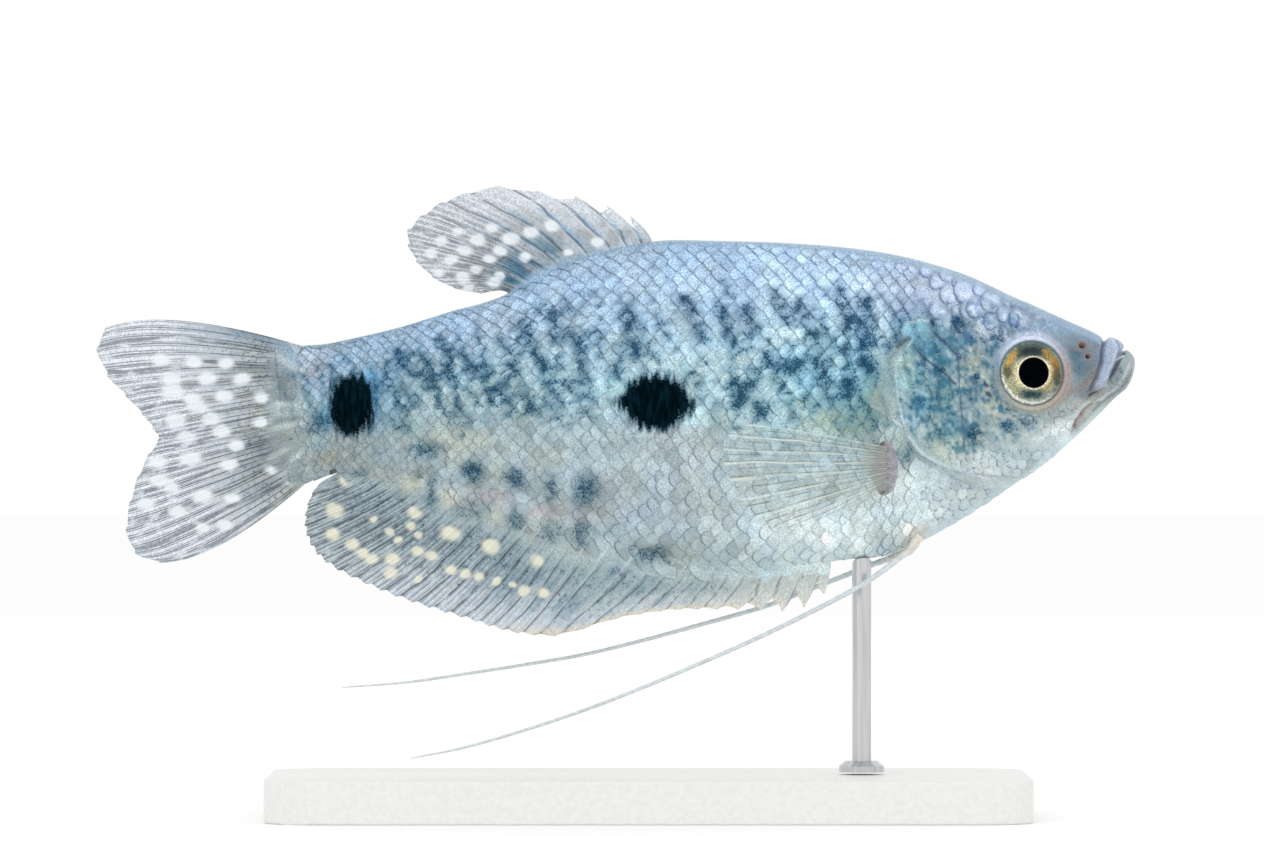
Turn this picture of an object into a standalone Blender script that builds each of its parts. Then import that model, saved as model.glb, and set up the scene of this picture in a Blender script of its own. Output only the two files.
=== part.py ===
"""A blue gourami, 120 mm long, as a still life-size model on a display stand.

The values are in millimetres and the meshes in metres. X runs from tail to mouth, Y to the fish's left,
Z up. The origin is on the floor, below the middle of the fish's length.
"""

import math

import bmesh
import bpy
import numpy as np
from mathutils import Vector
from mathutils.bvhtree import BVHTree

MM = 0.001
GAP = 0.3  # what touching pieces keep between them
FAR = 30.0  # past the fish on every side
RIGHT, LEFT = -1, 1

# The body is lofted through chords, each from the back to the belly. In the head the chords lean round
# to the mouth. Columns: back x, back z, belly x, belly z, half width, keel.
BODY_CHORDS = [
    (-39.3, 54.7, -37.5, 38.5, 0.9, 0.2),
    (-34.1, 54.8, -32.9, 40.3, 1.5, 0.3),
    (-30.3, 55.5, -30.3, 40.7, 2.1, 0.4),
    (-24.8, 56.8, -24.8, 39.4, 3.1, 0.6),
    (-19.0, 58.6, -19.0, 38.1, 4.1, 0.7),
    (-13.2, 60.3, -13.2, 37.0, 5.1, 0.7),
    (-7.4, 63.4, -7.4, 34.9, 6.0, 0.7),
    (-1.6, 65.5, -1.6, 32.4, 6.8, 0.6),
    (5.0, 66.8, 5.0, 30.2, 7.4, 0.5),
    (12.3, 66.8, 12.3, 29.0, 7.9, 0.4),
    (19.2, 66.6, 19.2, 29.0, 8.2, 0.3),
    (26.2, 66.1, 26.2, 29.7, 8.3, 0.3),
    (32.0, 65.3, 32.0, 30.4, 8.2, 0.3),
    (36.6, 64.2, 36.6, 32.5, 7.9, 0.3),
    (41.2, 62.7, 41.2, 35.2, 7.3, 0.3),
    (45.9, 60.5, 45.9, 38.3, 6.5, 0.3),
    (49.9, 58.7, 49.9, 41.2, 5.6, 0.2),
    (52.8, 57.4, 53.7, 44.4, 4.8, 0.1),
    (55.1, 56.4, 56.6, 47.2, 3.9, 0.0),
    (56.8, 55.5, 58.6, 49.3, 3.1, 0.0),
    (57.7, 55.3, 59.6, 50.8, 2.5, 0.0),
    (58.5, 54.9, 60.0, 52.3, 1.9, 0.0),
    (58.8, 54.3, 59.9, 53.3, 1.2, 0.0),
    (58.6, 53.7, 59.2, 53.4, 0.6, 0.0),
    (58.3, 53.2, 58.4, 53.2, 0.1, 0.0),
]
CHORD_STEPS = 2  # rings for each chord of the list
RING_STEPS = 13  # steps down each side of a ring
WIDEST = 0.1  # the widest height of a chord, from -1 at the belly to 1 at the back
BACK_KEEL = 0.15

# The cuts that part the flesh, as lines in the side view, top to bottom.
TAIL_BASE = [
    (-35.7, 58.0),
    (-36.0, 54.6),
    (-37.5, 50.9),
    (-38.0, 47.2),
    (-37.4, 43.1),
    (-34.5, 39.8),
    (-32.5, 37.5),
]
STALK_CUT = [(-23.8, 60.0), (-24.8, 56.8), (-25.6, 48.0), (-24.8, 39.4), (-23.8, 36.0)]
GILL_EDGE = [
    (37.5, 68.0),
    (36.0, 63.4),
    (33.9, 59.6),
    (33.3, 56.4),
    (32.3, 52.1),
    (32.4, 49.5),
    (33.0, 45.5),
    (34.5, 42.3),
    (36.4, 40.3),
    (40.1, 38.8),
    (43.0, 38.2),
    (44.2, 36.6),
    (44.6, 33.0),
]
FACE_LINE = [
    (57.0, 58.0),
    (56.7, 55.6),
    (56.4, 54.2),
    (55.9, 51.9),
    (55.5, 49.9),
    (54.9, 48.4),
    (54.6, 47.2),
    (54.8, 45.9),
    (55.8, 44.4),
    (57.6, 42.6),
]
MOUTH_LINE = [
    (49.0, 47.2),
    (54.9, 48.4),
    (56.1, 49.4),
    (57.0, 50.6),
    (57.8, 52.0),
    (58.4, 53.2),
    (59.3, 54.1),
    (62.0, 56.5),
]
LIP_SWELL = 0.2  # how far the upper lip stands out

# The gill cover is a plate let into the side of the head. Both edges run from top to bottom.
GILL_REAR = [
    (34.4, 57.5),
    (33.3, 55.6),
    (32.7, 52.4),
    (32.7, 49.3),
    (33.3, 45.6),
    (34.8, 42.5),
    (36.7, 40.6),
    (39.9, 39.2),
    (42.0, 38.8),
]
GILL_FRONT = [
    (36.4, 57.4),
    (37.8, 56.2),
    (39.2, 53.4),
    (39.8, 49.6),
    (40.1, 46.4),
    (40.8, 43.8),
    (41.8, 41.8),
    (42.8, 40.3),
    (43.2, 39.4),
]
GILL_STEPS = 16
COVER_PROUD = 0.25
COVER_DEPTH = 0.75

EYE_PLACE = (48.4, 51.5)
EYE_RADIUS = 3.6
EYE_BULGE = 1.35
EYE_DEPTH = 1.7
PUPIL_RADIUS = 1.7
EYE_FORWARD = math.radians(11)
EYE_UP = math.radians(3)
ORBIT_RIM = 0.42  # half width of the soft ring round the eye
NOSTRILS = [(54.1, 54.7, 0.34), (54.7, 53.4, 0.26)]  # x, z, radius
NOSTRIL_DEPTH = 0.7

# Each fin is a table of its rays: ray number, place of the base, then the tip's x and z.
DORSAL_RAYS = [
    (0, 4.6, 1.9, 69.7),
    (1, 3.2, -0.8, 70.9),
    (2, 1.4, -4.4, 72.0),
    (3, -0.7, -8.8, 72.6),
    (4, -2.9, -13.4, 73.2),
    (5, -4.7, -17.4, 72.3),
    (6, -6.3, -20.2, 71.2),
    (7, -7.6, -22.4, 69.7),
    (8, -8.7, -23.9, 68.1),
    (9, -9.6, -23.9, 66.3),
    (10, -10.3, -22.9, 64.4),
    (11, -10.9, -21.0, 62.6),
    (12, -11.4, -18.4, 61.3),
    (13, -11.9, -15.4, 60.7),
]
DORSAL_SPINES = 5
DORSAL_NOTCH = (0.45, 3.4)  # depth ahead of the first spines, and the spine by which it has faded
ANAL_RAYS = [
    (0, 25.2, 24.4, 25.9),
    (1, 23.7, 22.0, 24.3),
    (2, 21.6, 19.5, 23.8),
    (3, 19.5, 16.9, 24.0),
    (5, 15.2, 11.9, 24.1),
    (8, 10.2, 5.4, 23.9),
    (10, 7.2, 0.2, 23.0),
    (12, 2.8, -6.9, 21.0),
    (13, -0.2, -9.2, 21.1),
    (18, -7.4, -17.7, 23.2),
    (23, -14.4, -27.0, 26.3),
    (28, -20.6, -34.4, 30.5),
    (32, -26.0, -35.8, 35.0),
    (35, -30.0, -34.2, 38.6),
    (36, -31.2, -33.0, 39.7),
]
ANAL_SPINES = 13
ANAL_NOTCH = (0.4, 4.5)
TAIL_RAYS = [
    (0, 0.0, -59.0, 56.7),
    (1, 0.08, -60.0, 54.2),
    (2, 0.17, -58.7, 51.1),
    (3, 0.25, -56.6, 48.8),
    (4, 0.33, -54.7, 46.7),
    (5, 0.42, -53.5, 45.1),
    (6, 0.5, -52.9, 43.7),
    (7, 0.58, -54.0, 42.0),
    (8, 0.67, -55.3, 39.3),
    (9, 0.75, -56.2, 36.4),
    (10, 0.83, -56.6, 33.3),
    (11, 0.92, -55.5, 30.6),
    (12, 1.0, -52.6, 29.5),
]
TAIL_BOW = 3.3  # how far the outer tail rays bend outwards
TAIL_REACH = 0.72  # where along them they bend most
TAIL_SWING = 1.2  # sideways sweep of the tail fin's tips
PECTORAL_RAYS = [
    (0, 43.0, 15.3, 45.6),
    (1, 42.4, 13.2, 44.5),
    (2, 41.8, 12.5, 42.9),
    (3, 41.2, 12.6, 41.2),
    (4, 40.6, 13.2, 39.3),
    (5, 40.1, 14.4, 37.1),
    (6, 39.6, 16.3, 35.0),
    (7, 39.1, 18.6, 33.8),
    (8, 38.6, 21.5, 33.8),
    (9, 38.1, 25.3, 35.4),
]
PECTORAL_BASE_X = 30.8
PECTORAL_SPREAD = 0.17  # how fast the fin leaves the side, for each mm of its length

RAY_ROOT, RAY_TIP = 0.5, 0.3  # half thickness of a ray
MEMBRANE = 0.26
EDGE = 0.13  # half thickness at the margin
FIN_ROWS = [0.0, 0.16, 0.4, 0.66, 0.87, 1.0]
RIDGE_SHARE = 0.24  # half width of a ray's ridge, as a share of the space between rays

# The feelers are the long first rays of the pelvic fins: x, y on the near side, z.
RIGHT_FEELER = [
    (34.6, -1.7, 31.2),
    (33.2, -2.0, 30.3),
    (31.2, -2.3, 28.7),
    (28.3, -2.7, 26.8),
    (24.4, -3.0, 24.7),
    (17.5, -3.5, 21.3),
    (10.5, -4.0, 18.2),
    (3.6, -4.5, 15.3),
    (-3.4, -5.0, 12.6),
    (-10.3, -5.5, 10.3),
    (-17.3, -5.9, 8.3),
    (-23.3, -6.2, 7.1),
]
LEFT_FEELER = [
    (34.4, 1.7, 31.1),
    (32.0, 2.2, 30.0),
    (29.7, 2.5, 29.2),
    (26.8, 2.8, 28.0),
    (22.7, 3.2, 26.4),
    (17.5, 3.7, 24.4),
    (10.5, 4.2, 22.4),
    (3.6, 4.7, 20.5),
    (-3.4, 5.3, 18.8),
    (-10.3, 5.9, 17.6),
    (-17.3, 6.5, 16.5),
    (-24.2, 7.0, 15.5),
    (-31.7, 7.4, 14.9),
]
FEELER_ROOT_X = 35.2
FEELER_ROOT_Y = 1.6
FEELER_THICK, FEELER_THIN, FEELER_TIP = 0.42, 0.25, 0.12
FEELER_STEPS = 26
FEELER_SIDES = 8

BASE_SIZE = (88.0, 46.0, 5.0)
BASE_X = 4.0
BASE_CORNER = 7.0
BASE_EDGE = 0.7
ROD_PLACE = 28.7
ROD_RADIUS = 1.1
COLLAR_RADIUS = 2.6
COLLAR_HEIGHT = 1.3

COLOURS = {  # base colour, roughness, metallic
    "flesh": ((0.46, 0.58, 0.68), 0.4, 0.0),
    "lips": ((0.5, 0.56, 0.6), 0.4, 0.0),
    "eye": ((0.45, 0.4, 0.2), 0.15, 0.0),
    "fin": ((0.62, 0.66, 0.7), 0.45, 0.0),
    "feeler": ((0.72, 0.75, 0.76), 0.45, 0.0),
    "base": ((0.8, 0.8, 0.78), 0.5, 0.0),
    "rod": ((0.7, 0.7, 0.72), 0.3, 1.0),
}


def clear_scene():
    for obj in list(bpy.data.objects):
        bpy.data.objects.remove(obj)


def material(name):
    """The Principled material of one kind of part, made once."""
    if name in bpy.data.materials:
        return bpy.data.materials[name]
    colour, roughness, metallic = COLOURS[name]
    made = bpy.data.materials.new(name)
    made.use_nodes = True
    shader = made.node_tree.nodes["Principled BSDF"]
    shader.inputs["Base Color"].default_value = (*colour, 1.0)
    shader.inputs["Roughness"].default_value = roughness
    shader.inputs["Metallic"].default_value = metallic
    return made


def add_object(name, points, faces, look=None):
    """A mesh object from points in millimetres. Without a look it is a cutter, not part of the model."""
    mesh = bpy.data.meshes.new(name)
    mesh.from_pydata([Vector(p) * MM for p in points], [], faces)
    work = bmesh.new()
    work.from_mesh(mesh)
    bmesh.ops.triangulate(work, faces=[f for f in work.faces if len(f.verts) > 4])
    bmesh.ops.recalc_face_normals(work, faces=work.faces)
    work.to_mesh(mesh)
    work.free()
    obj = bpy.data.objects.new(name, mesh)
    bpy.context.scene.collection.objects.link(obj)
    if look is None:
        obj.hide_render = True
        obj.display_type = "WIRE"
    else:
        mesh.materials.append(material(look))
        mesh.shade_smooth()
        mesh.set_sharp_from_angle(angle=math.radians(40))
    return obj


def through(rows, at):
    """A smooth curve through rows whose first column is the parameter. Returns the other columns."""
    rows = np.asarray(rows, float)
    t, values = rows[:, 0], rows[:, 1:]
    at = np.clip(np.atleast_1d(np.asarray(at, float)), t[0], t[-1])
    steps = np.diff(t)[:, None]
    slopes = np.diff(values, axis=0) / steps
    tangents = np.empty_like(values)
    tangents[0], tangents[-1] = slopes[0], slopes[-1]
    tangents[1:-1] = (slopes[:-1] * steps[1:] + slopes[1:] * steps[:-1]) / (steps[1:] + steps[:-1])
    k = np.clip(np.searchsorted(t, at, side="right") - 1, 0, len(t) - 2)
    h = steps[k]
    u = ((at - t[k]) / h[:, 0])[:, None]
    a, b = values[k], values[k + 1]
    return (
        (2 * u**3 - 3 * u**2 + 1) * a
        + (u**3 - 2 * u**2 + u) * h * tangents[k]
        + (3 * u**2 - 2 * u**3) * b
        + (u**3 - u**2) * h * tangents[k + 1]
    )


def numbered(points):
    return [(i, *p) for i, p in enumerate(points)]


def smooth_line(points, steps_each=4):
    """A smooth polyline through points of the side view."""
    last = len(points) - 1
    return through(numbered(points), np.linspace(0, last, last * steps_each + 1))


def shifted(line, distance):
    """The line moved to its left, seen along its direction, by distance."""
    direction = np.gradient(line, axis=0)
    direction /= np.linalg.norm(direction, axis=1)[:, None]
    normal = np.stack([-direction[:, 1], direction[:, 0]], axis=1)
    return line + normal * distance


def grown(outline, distance):
    """A closed outline moved outwards by distance. It runs anticlockwise."""
    along = np.roll(outline, -1, axis=0) - np.roll(outline, 1, axis=0)
    along /= np.linalg.norm(along, axis=1)[:, None]
    return outline + np.stack([along[:, 1], -along[:, 0]], axis=1) * distance


def body_points(chord_steps, ring_steps):
    """Rings of the loft, from the tail to the mouth. Each starts at the back and goes right first."""
    last = len(BODY_CHORDS) - 1
    chords = through(numbered(BODY_CHORDS), np.linspace(0, last, last * chord_steps + 1))
    down = np.linspace(math.pi / 2, -math.pi / 2, ring_steps + 1)
    angles = np.concatenate([down, down[-2:0:-1]])
    sides = np.concatenate([np.full(ring_steps + 1, RIGHT), np.full(ring_steps - 1, LEFT)])
    rings = []
    for back_x, back_z, belly_x, belly_z, half_width, keel in chords:
        reach = np.where(angles > 0, 1 - WIDEST, 1 + WIDEST)
        along = (WIDEST + reach * np.sin(angles) + 1) / 2
        power = np.where(angles > 0, 1 + BACK_KEEL, 1 + keel)
        width = half_width * np.clip(np.cos(angles), 0, 1) ** power
        x = belly_x + (back_x - belly_x) * along
        z = belly_z + (back_z - belly_z) * along
        rings.append(np.stack([x, sides * width, z], axis=1))
    return rings


def loft_faces(rings, around):
    faces = []
    for r in range(rings - 1):
        for i in range(around):
            j = (i + 1) % around
            faces.append((r * around + i, r * around + j, (r + 1) * around + j, (r + 1) * around + i))
    faces.append(tuple(range(around))[::-1])
    faces.append(tuple((rings - 1) * around + i for i in range(around)))
    return faces


RINGS = body_points(CHORD_STEPS, RING_STEPS)
BODY_POINTS = np.concatenate(RINGS)
BODY_FACES = loft_faces(len(RINGS), 2 * RING_STEPS)
SURFACE = BVHTree.FromPolygons([Vector(p) for p in BODY_POINTS], BODY_FACES)


def side_y(x, z, side):
    """Where the side of the body is at x and z, and which way it faces."""
    place, normal, _, _ = SURFACE.ray_cast(Vector((x, side * FAR, z)), Vector((0, -side, 0)))
    return place.y, normal


def belly_z(x, y):
    return SURFACE.ray_cast(Vector((x, y, 0)), Vector((0, 0, 1)))[0].z


def edge_z(x, row):
    """Height of the back, row 1, or of the belly, row 3, at x, from the chords."""
    last = len(BODY_CHORDS) - 1
    chords = through(numbered(BODY_CHORDS), np.linspace(0, last, 40 * last + 1))
    return np.interp(x, chords[:, row - 1], chords[:, row])


def region(name, outline):
    """A cutter: an outline of the side view, drawn out through the whole width of the fish."""
    count = len(outline)
    points = [(x, -FAR, z) for x, z in outline] + [(x, FAR, z) for x, z in outline]
    walls = [(i, (i + 1) % count, count + (i + 1) % count, count + i) for i in range(count)]
    return add_object(name, points, [tuple(range(count)), tuple(range(count, 2 * count))[::-1], *walls])


def between(name, behind, ahead):
    """A cutter that keeps what lies between two cut lines, half a gap clear of each. None means open."""
    top, bottom = 2 * FAR + 20, -FAR
    if behind is None:
        rear = np.array([(-3 * FAR, top), (-3 * FAR, bottom)])
    else:
        rear = shifted(smooth_line(behind), GAP / 2)
        rear = np.vstack([(rear[0][0], top), rear, (rear[-1][0], bottom)])
    if ahead is None:
        front = np.array([(3 * FAR, top), (3 * FAR, bottom)])
    else:
        front = shifted(smooth_line(ahead), -GAP / 2)
        front = np.vstack([(front[0][0], top), front, (front[-1][0], bottom)])
    return region(name, np.vstack([rear, front[::-1]]))


def boolean(obj, other, operation):
    step = obj.modifiers.new(operation.title(), "BOOLEAN")
    step.object = other
    step.operation = operation


def settle(obj):
    """Applies an object's modifiers and keeps its largest closed surface."""
    graph = bpy.context.evaluated_depsgraph_get()
    mesh = bpy.data.meshes.new_from_object(obj.evaluated_get(graph))
    obj.modifiers.clear()
    obj.data = mesh
    work = bmesh.new()
    work.from_mesh(mesh)
    groups, seen = [], set()
    for start in work.verts:
        if start in seen:
            continue
        group, queue = [], [start]
        seen.add(start)
        while queue:
            vert = queue.pop()
            group.append(vert)
            for edge in vert.link_edges:
                other = edge.other_vert(vert)
                if other not in seen:
                    seen.add(other)
                    queue.append(other)
        groups.append(group)
    largest = max(groups, key=lambda g: np.ptp([v.co for v in g], axis=0).prod())
    loose = [v for g in groups if g is not largest for v in g]
    bmesh.ops.delete(work, geom=loose, context="VERTS")
    work.to_mesh(mesh)
    work.free()
    mesh.shade_smooth()
    mesh.set_sharp_from_angle(angle=math.radians(40))


def flesh(name, look, *cutters, swell=0.0):
    """A copy of the whole body, swollen and kept only inside the cutters."""
    obj = add_object(name, BODY_POINTS, BODY_FACES, look)
    if swell:
        step = obj.modifiers.new("Swell", "DISPLACE")
        step.mid_level = 0.0
        step.strength = swell * MM
    for cutter in cutters:
        boolean(obj, cutter, "INTERSECT")
    return obj


def side_plate(name, grow, inner, outer, side, look=None):
    """The gill cover's plate, which follows the side of the body between two depths."""
    rear = through(numbered(GILL_REAR), np.linspace(0, len(GILL_REAR) - 1, GILL_STEPS))
    front = through(numbered(GILL_FRONT), np.linspace(0, len(GILL_FRONT) - 1, GILL_STEPS))
    outline = grown(np.vstack([rear, front[::-1]]), grow)
    rear, front = outline[:GILL_STEPS], outline[:GILL_STEPS - 1:-1]
    shares = [0.0, 0.3, 0.65, 1.0]
    places = [r + (f - r) * share for r, f in zip(rear, front) for share in shares]
    surface = [side_y(x, z, side)[0] for x, z in places]
    points = [(x, y + side * inner, z) for (x, z), y in zip(places, surface)]
    points += [(x, y + side * outer, z) for (x, z), y in zip(places, surface)]
    across, total = len(shares), len(places)
    faces = []
    for row in range(GILL_STEPS - 1):
        for column in range(across - 1):
            a = row * across + column
            b = a + across
            sheet = [(a, b, b + 1), (a, b + 1, a + 1)]
            faces += sheet + [tuple(total + v for v in face)[::-1] for face in sheet]
    edge = [row * across for row in range(GILL_STEPS)]
    edge += [total - across + column for column in range(1, across)]
    edge += [row * across + across - 1 for row in range(GILL_STEPS - 2, -1, -1)]
    edge += [column for column in range(across - 2, 0, -1)]
    for a, b in zip(edge, edge[1:] + edge[:1]):
        faces.append((a, total + a, total + b, b))
    return add_object(name, points, faces, look)


def turned(profile, sides, place, axis):
    """Points and faces of a turned solid. profile is radius and height along axis, from pole to pole."""
    turn = Vector(axis).to_track_quat("Z", "Y")
    points, faces = [], []
    for radius, height in profile:
        for i in range(sides):
            angle = 2 * math.pi * i / sides
            local = Vector((radius * math.cos(angle), radius * math.sin(angle), height))
            points.append(turn @ local + Vector(place))
    for r in range(len(profile) - 1):
        for i in range(sides):
            j = (i + 1) % sides
            faces.append((r * sides + i, r * sides + j, (r + 1) * sides + j, (r + 1) * sides + i))
    faces.append(tuple(range(sides))[::-1])
    faces.append(tuple((len(profile) - 1) * sides + i for i in range(sides)))
    return points, faces


def eye_axis(side):
    return Vector((math.sin(EYE_FORWARD), side * math.cos(EYE_FORWARD), math.sin(EYE_UP))).normalized()


def eye_place(side):
    x, z = EYE_PLACE
    return Vector((x, side_y(x, z, side)[0], z))


def add_eye(name, side):
    """A shallow domed disc with the pupil raised on it."""
    back = -EYE_DEPTH
    profile = [(EYE_RADIUS - 0.3, back), (EYE_RADIUS, back + 0.3), (EYE_RADIUS, 0.1)]
    for share in (0.9, 0.75, 0.55):
        profile.append((EYE_RADIUS * share, 0.1 + EYE_BULGE * (1 - share**2)))
    rise = 0.1 + EYE_BULGE * (1 - (PUPIL_RADIUS / EYE_RADIUS) ** 2)
    for share, step in ((1.0, 0.0), (0.9, 0.15), (0.5, 0.32)):
        profile.append((PUPIL_RADIUS * share, rise + step))
    points, faces = turned(profile, 20, eye_place(side), eye_axis(side))
    return add_object(name, points, faces, "eye")


def add_head():
    """The head with its orbit rims, eye sockets, nostrils and the pockets of the gill covers."""
    head = flesh("head", "flesh", between("head_region", GILL_EDGE, FACE_LINE))
    for side, word in ((RIGHT, "right"), (LEFT, "left")):
        socket_radius = EYE_RADIUS + GAP
        middle = socket_radius + 0.1
        rim = [
            (middle - ORBIT_RIM, -1.2),
            (middle + ORBIT_RIM, -1.2),
            (middle + ORBIT_RIM, 0.0),
            (middle + ORBIT_RIM * 0.6, 0.3),
            (middle, 0.4),
            (middle - ORBIT_RIM, 0.3),
        ]
        points, faces = turned(rim, 20, eye_place(side), eye_axis(side))
        boolean(head, add_object(f"orbit_rim_{word}", points, faces), "UNION")
        bore = [(socket_radius, -EYE_DEPTH - GAP), (socket_radius, 4.0)]
        points, faces = turned(bore, 20, eye_place(side), eye_axis(side))
        boolean(head, add_object(f"eye_socket_{word}", points, faces), "DIFFERENCE")
        for number, (x, z, radius) in enumerate(NOSTRILS, 1):
            y, normal = side_y(x, z, side)
            pit = [(radius * 0.6, -NOSTRIL_DEPTH), (radius, 0.0), (radius * 1.5, 1.0)]
            points, faces = turned(pit, 8, (x, y, z), normal)
            boolean(head, add_object(f"nostril_{number}_{word}", points, faces), "DIFFERENCE")
        boolean(head, side_plate(f"gill_pocket_{word}", GAP, -COVER_DEPTH - GAP, 3.0, side), "DIFFERENCE")
    settle(head)


def add_flesh():
    """Head, lips, gill covers, trunk and tail stalk, parted from one body by thin cuts."""
    add_head()
    for side, word in ((RIGHT, "right"), (LEFT, "left")):
        side_plate(f"gill_cover_{word}", 0.0, -COVER_DEPTH, COVER_PROUD, side, "flesh")
        add_eye(f"eye_{word}", side)
    mouth = between("mouth_region", FACE_LINE, None)
    line = smooth_line(MOUTH_LINE)
    above = np.vstack([shifted(line, GAP / 2), (62.0, 70.0), (49.0, 70.0)])
    below = np.vstack([shifted(line, -GAP / 2), (70.0, 56.5), (70.0, 30.0), (49.0, 30.0)])
    settle(flesh("upper_lip", "lips", mouth, region("above_mouth", above), swell=LIP_SWELL))
    settle(flesh("lower_jaw", "lips", mouth, region("below_mouth", below)))
    settle(flesh("trunk", "flesh", between("trunk_region", STALK_CUT, GILL_EDGE)))
    settle(flesh("tail_stalk", "flesh", between("stalk_region", TAIL_BASE, STALK_CUT)))


def fin_columns(rays, spines=0, notch=(0.0, 1.0), branched=False):
    """The columns of a fin's grid: for each, its place among the rays at each share of the length, its
    ridge height and how far it falls short of the tips."""
    columns = []
    for ray in range(rays):
        hard = ray < spines
        notch_ahead = notch[0] * math.exp(-((ray / notch[1]) ** 2)) + 0.04 if hard else 0.015
        notch_behind = 0.25 * notch_ahead
        if ray > 0:
            columns.append((lambda f, r=ray: r - RIDGE_SHARE, 0.0, notch_ahead))
        if branched and not hard:
            columns.append((lambda f, r=ray: r - 0.03 - 0.14 * f, 1.0, 0.0))
            if 0 < ray < rays - 1:
                columns.append((lambda f, r=ray: r, 0.3, 0.01))
            columns.append((lambda f, r=ray: r + 0.03 + 0.14 * f, 1.0, 0.0))
        else:
            columns.append((lambda f, r=ray: r, 1.0, 0.0))
        if ray < rays - 1:
            columns.append((lambda f, r=ray: r + RIDGE_SHARE, 0.0, notch_behind))
    return columns


def add_fin(name, patch, columns, root):
    """A thin solid with its rays raised on both faces. patch gives the middle sheet's point for a ray
    number and a share of its length, and root is the half thickness at the base."""
    points = []
    rows = len(FIN_ROWS)
    for place, ridge, short in columns:
        for row, share in enumerate(FIN_ROWS):
            along = share * (1 - short)
            x, y, z = patch(place(along), along)
            ray = RAY_ROOT + (RAY_TIP - RAY_ROOT) * along
            half = MEMBRANE + (ray - MEMBRANE) * ridge
            half += max(0.0, root - half) * math.exp(-((share / 0.09) ** 2))
            if row == rows - 1:
                half = EDGE
            points += [(x, y - half, z), (x, y + half, z)]
    faces = []
    across = len(columns)
    for c in range(across - 1):
        for r in range(rows - 1):
            a = 2 * (c * rows + r)
            b = a + 2
            d = a + 2 * rows
            e = d + 2
            faces += [(a, b, e), (a, e, d), (a + 1, e + 1, b + 1), (a + 1, d + 1, e + 1)]
        base, tip = 2 * c * rows, 2 * (c * rows + rows - 1)
        step = 2 * rows
        faces.append((base, base + step, base + step + 1, base + 1))
        faces.append((tip, tip + 1, tip + step + 1, tip + step))
    for first in (0, 2 * (across - 1) * rows):
        for r in range(rows - 1):
            a = first + 2 * r
            faces.append((a, a + 1, a + 3, a + 2))
    return add_object(name, points, faces, "fin")


def bent(base, tip, bow, share, reach=0.5):
    """A point of a ray that bends to its left, seen from base to tip, in the side view, most at reach."""
    run = tip - base
    length = math.hypot(run[0], run[-1])
    aside = np.zeros(len(base))
    aside[0], aside[-1] = -run[-1] / length, run[0] / length
    middle = base + run * reach + aside * bow
    return (1 - share) ** 2 * base + 2 * share * (1 - share) * middle + share**2 * tip


def dorsal_patch(ray, share):
    place, tip_x, tip_z = through(DORSAL_RAYS, ray)[0]
    base = np.array([place, edge_z(place, 1) + GAP])
    x, z = bent(base, np.array([tip_x, tip_z]), -0.05 * math.dist(base, (tip_x, tip_z)), share)
    return x, 0.0, z


def anal_patch(ray, share):
    place, tip_x, tip_z = through(ANAL_RAYS, ray)[0]
    base = np.array([place, edge_z(place, 3) - GAP])
    x, z = bent(base, np.array([tip_x, tip_z]), 0.04 * math.dist(base, (tip_x, tip_z)), share)
    return x, 0.0, z


def tail_patch(ray, share):
    place, tip_x, tip_z = through(TAIL_RAYS, ray)[0]
    line = smooth_line(TAIL_BASE[1:-1], 8)
    line = shifted(line, -GAP / 2)
    run = np.concatenate([[0], np.cumsum(np.linalg.norm(np.diff(line, axis=0), axis=1))])
    base = np.array([np.interp(place * run[-1], run, line[:, k]) for k in (0, 1)])
    bow = TAIL_BOW * (2 * place - 1) ** 3
    x, z = bent(base, np.array([tip_x, tip_z]), bow, share, TAIL_REACH)
    return x, TAIL_SWING * share**2, z


def pectoral_patch(side):
    def patch(ray, share):
        base_z, tip_x, tip_z = through(PECTORAL_RAYS, ray)[0]
        side_of_body = side_y(PECTORAL_BASE_X, base_z, side)[0]
        base = np.array([PECTORAL_BASE_X, side_of_body + side * (GAP + 0.62), base_z])
        out = PECTORAL_SPREAD * math.dist((PECTORAL_BASE_X, base_z), (tip_x, tip_z))
        tip = np.array([tip_x, base[1] + side * (out + 0.12 * (tip_z - base_z)), tip_z])
        return bent(base, tip, 0.4 * (ray / 4.5 - 1), share)

    return patch


def add_fins():
    dorsal_columns = fin_columns(len(DORSAL_RAYS), DORSAL_SPINES, DORSAL_NOTCH, branched=True)
    add_fin("dorsal_fin", dorsal_patch, dorsal_columns, 0.6)
    anal_columns = fin_columns(ANAL_RAYS[-1][0] + 1, ANAL_SPINES, ANAL_NOTCH)
    add_fin("anal_fin", anal_patch, anal_columns, 0.6)
    add_fin("tail_fin", tail_patch, fin_columns(len(TAIL_RAYS), branched=True), 0.8)
    for side, word in ((RIGHT, "right"), (LEFT, "left")):
        add_fin(f"pectoral_fin_{word}", pectoral_patch(side), fin_columns(len(PECTORAL_RAYS)), 0.62)


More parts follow.
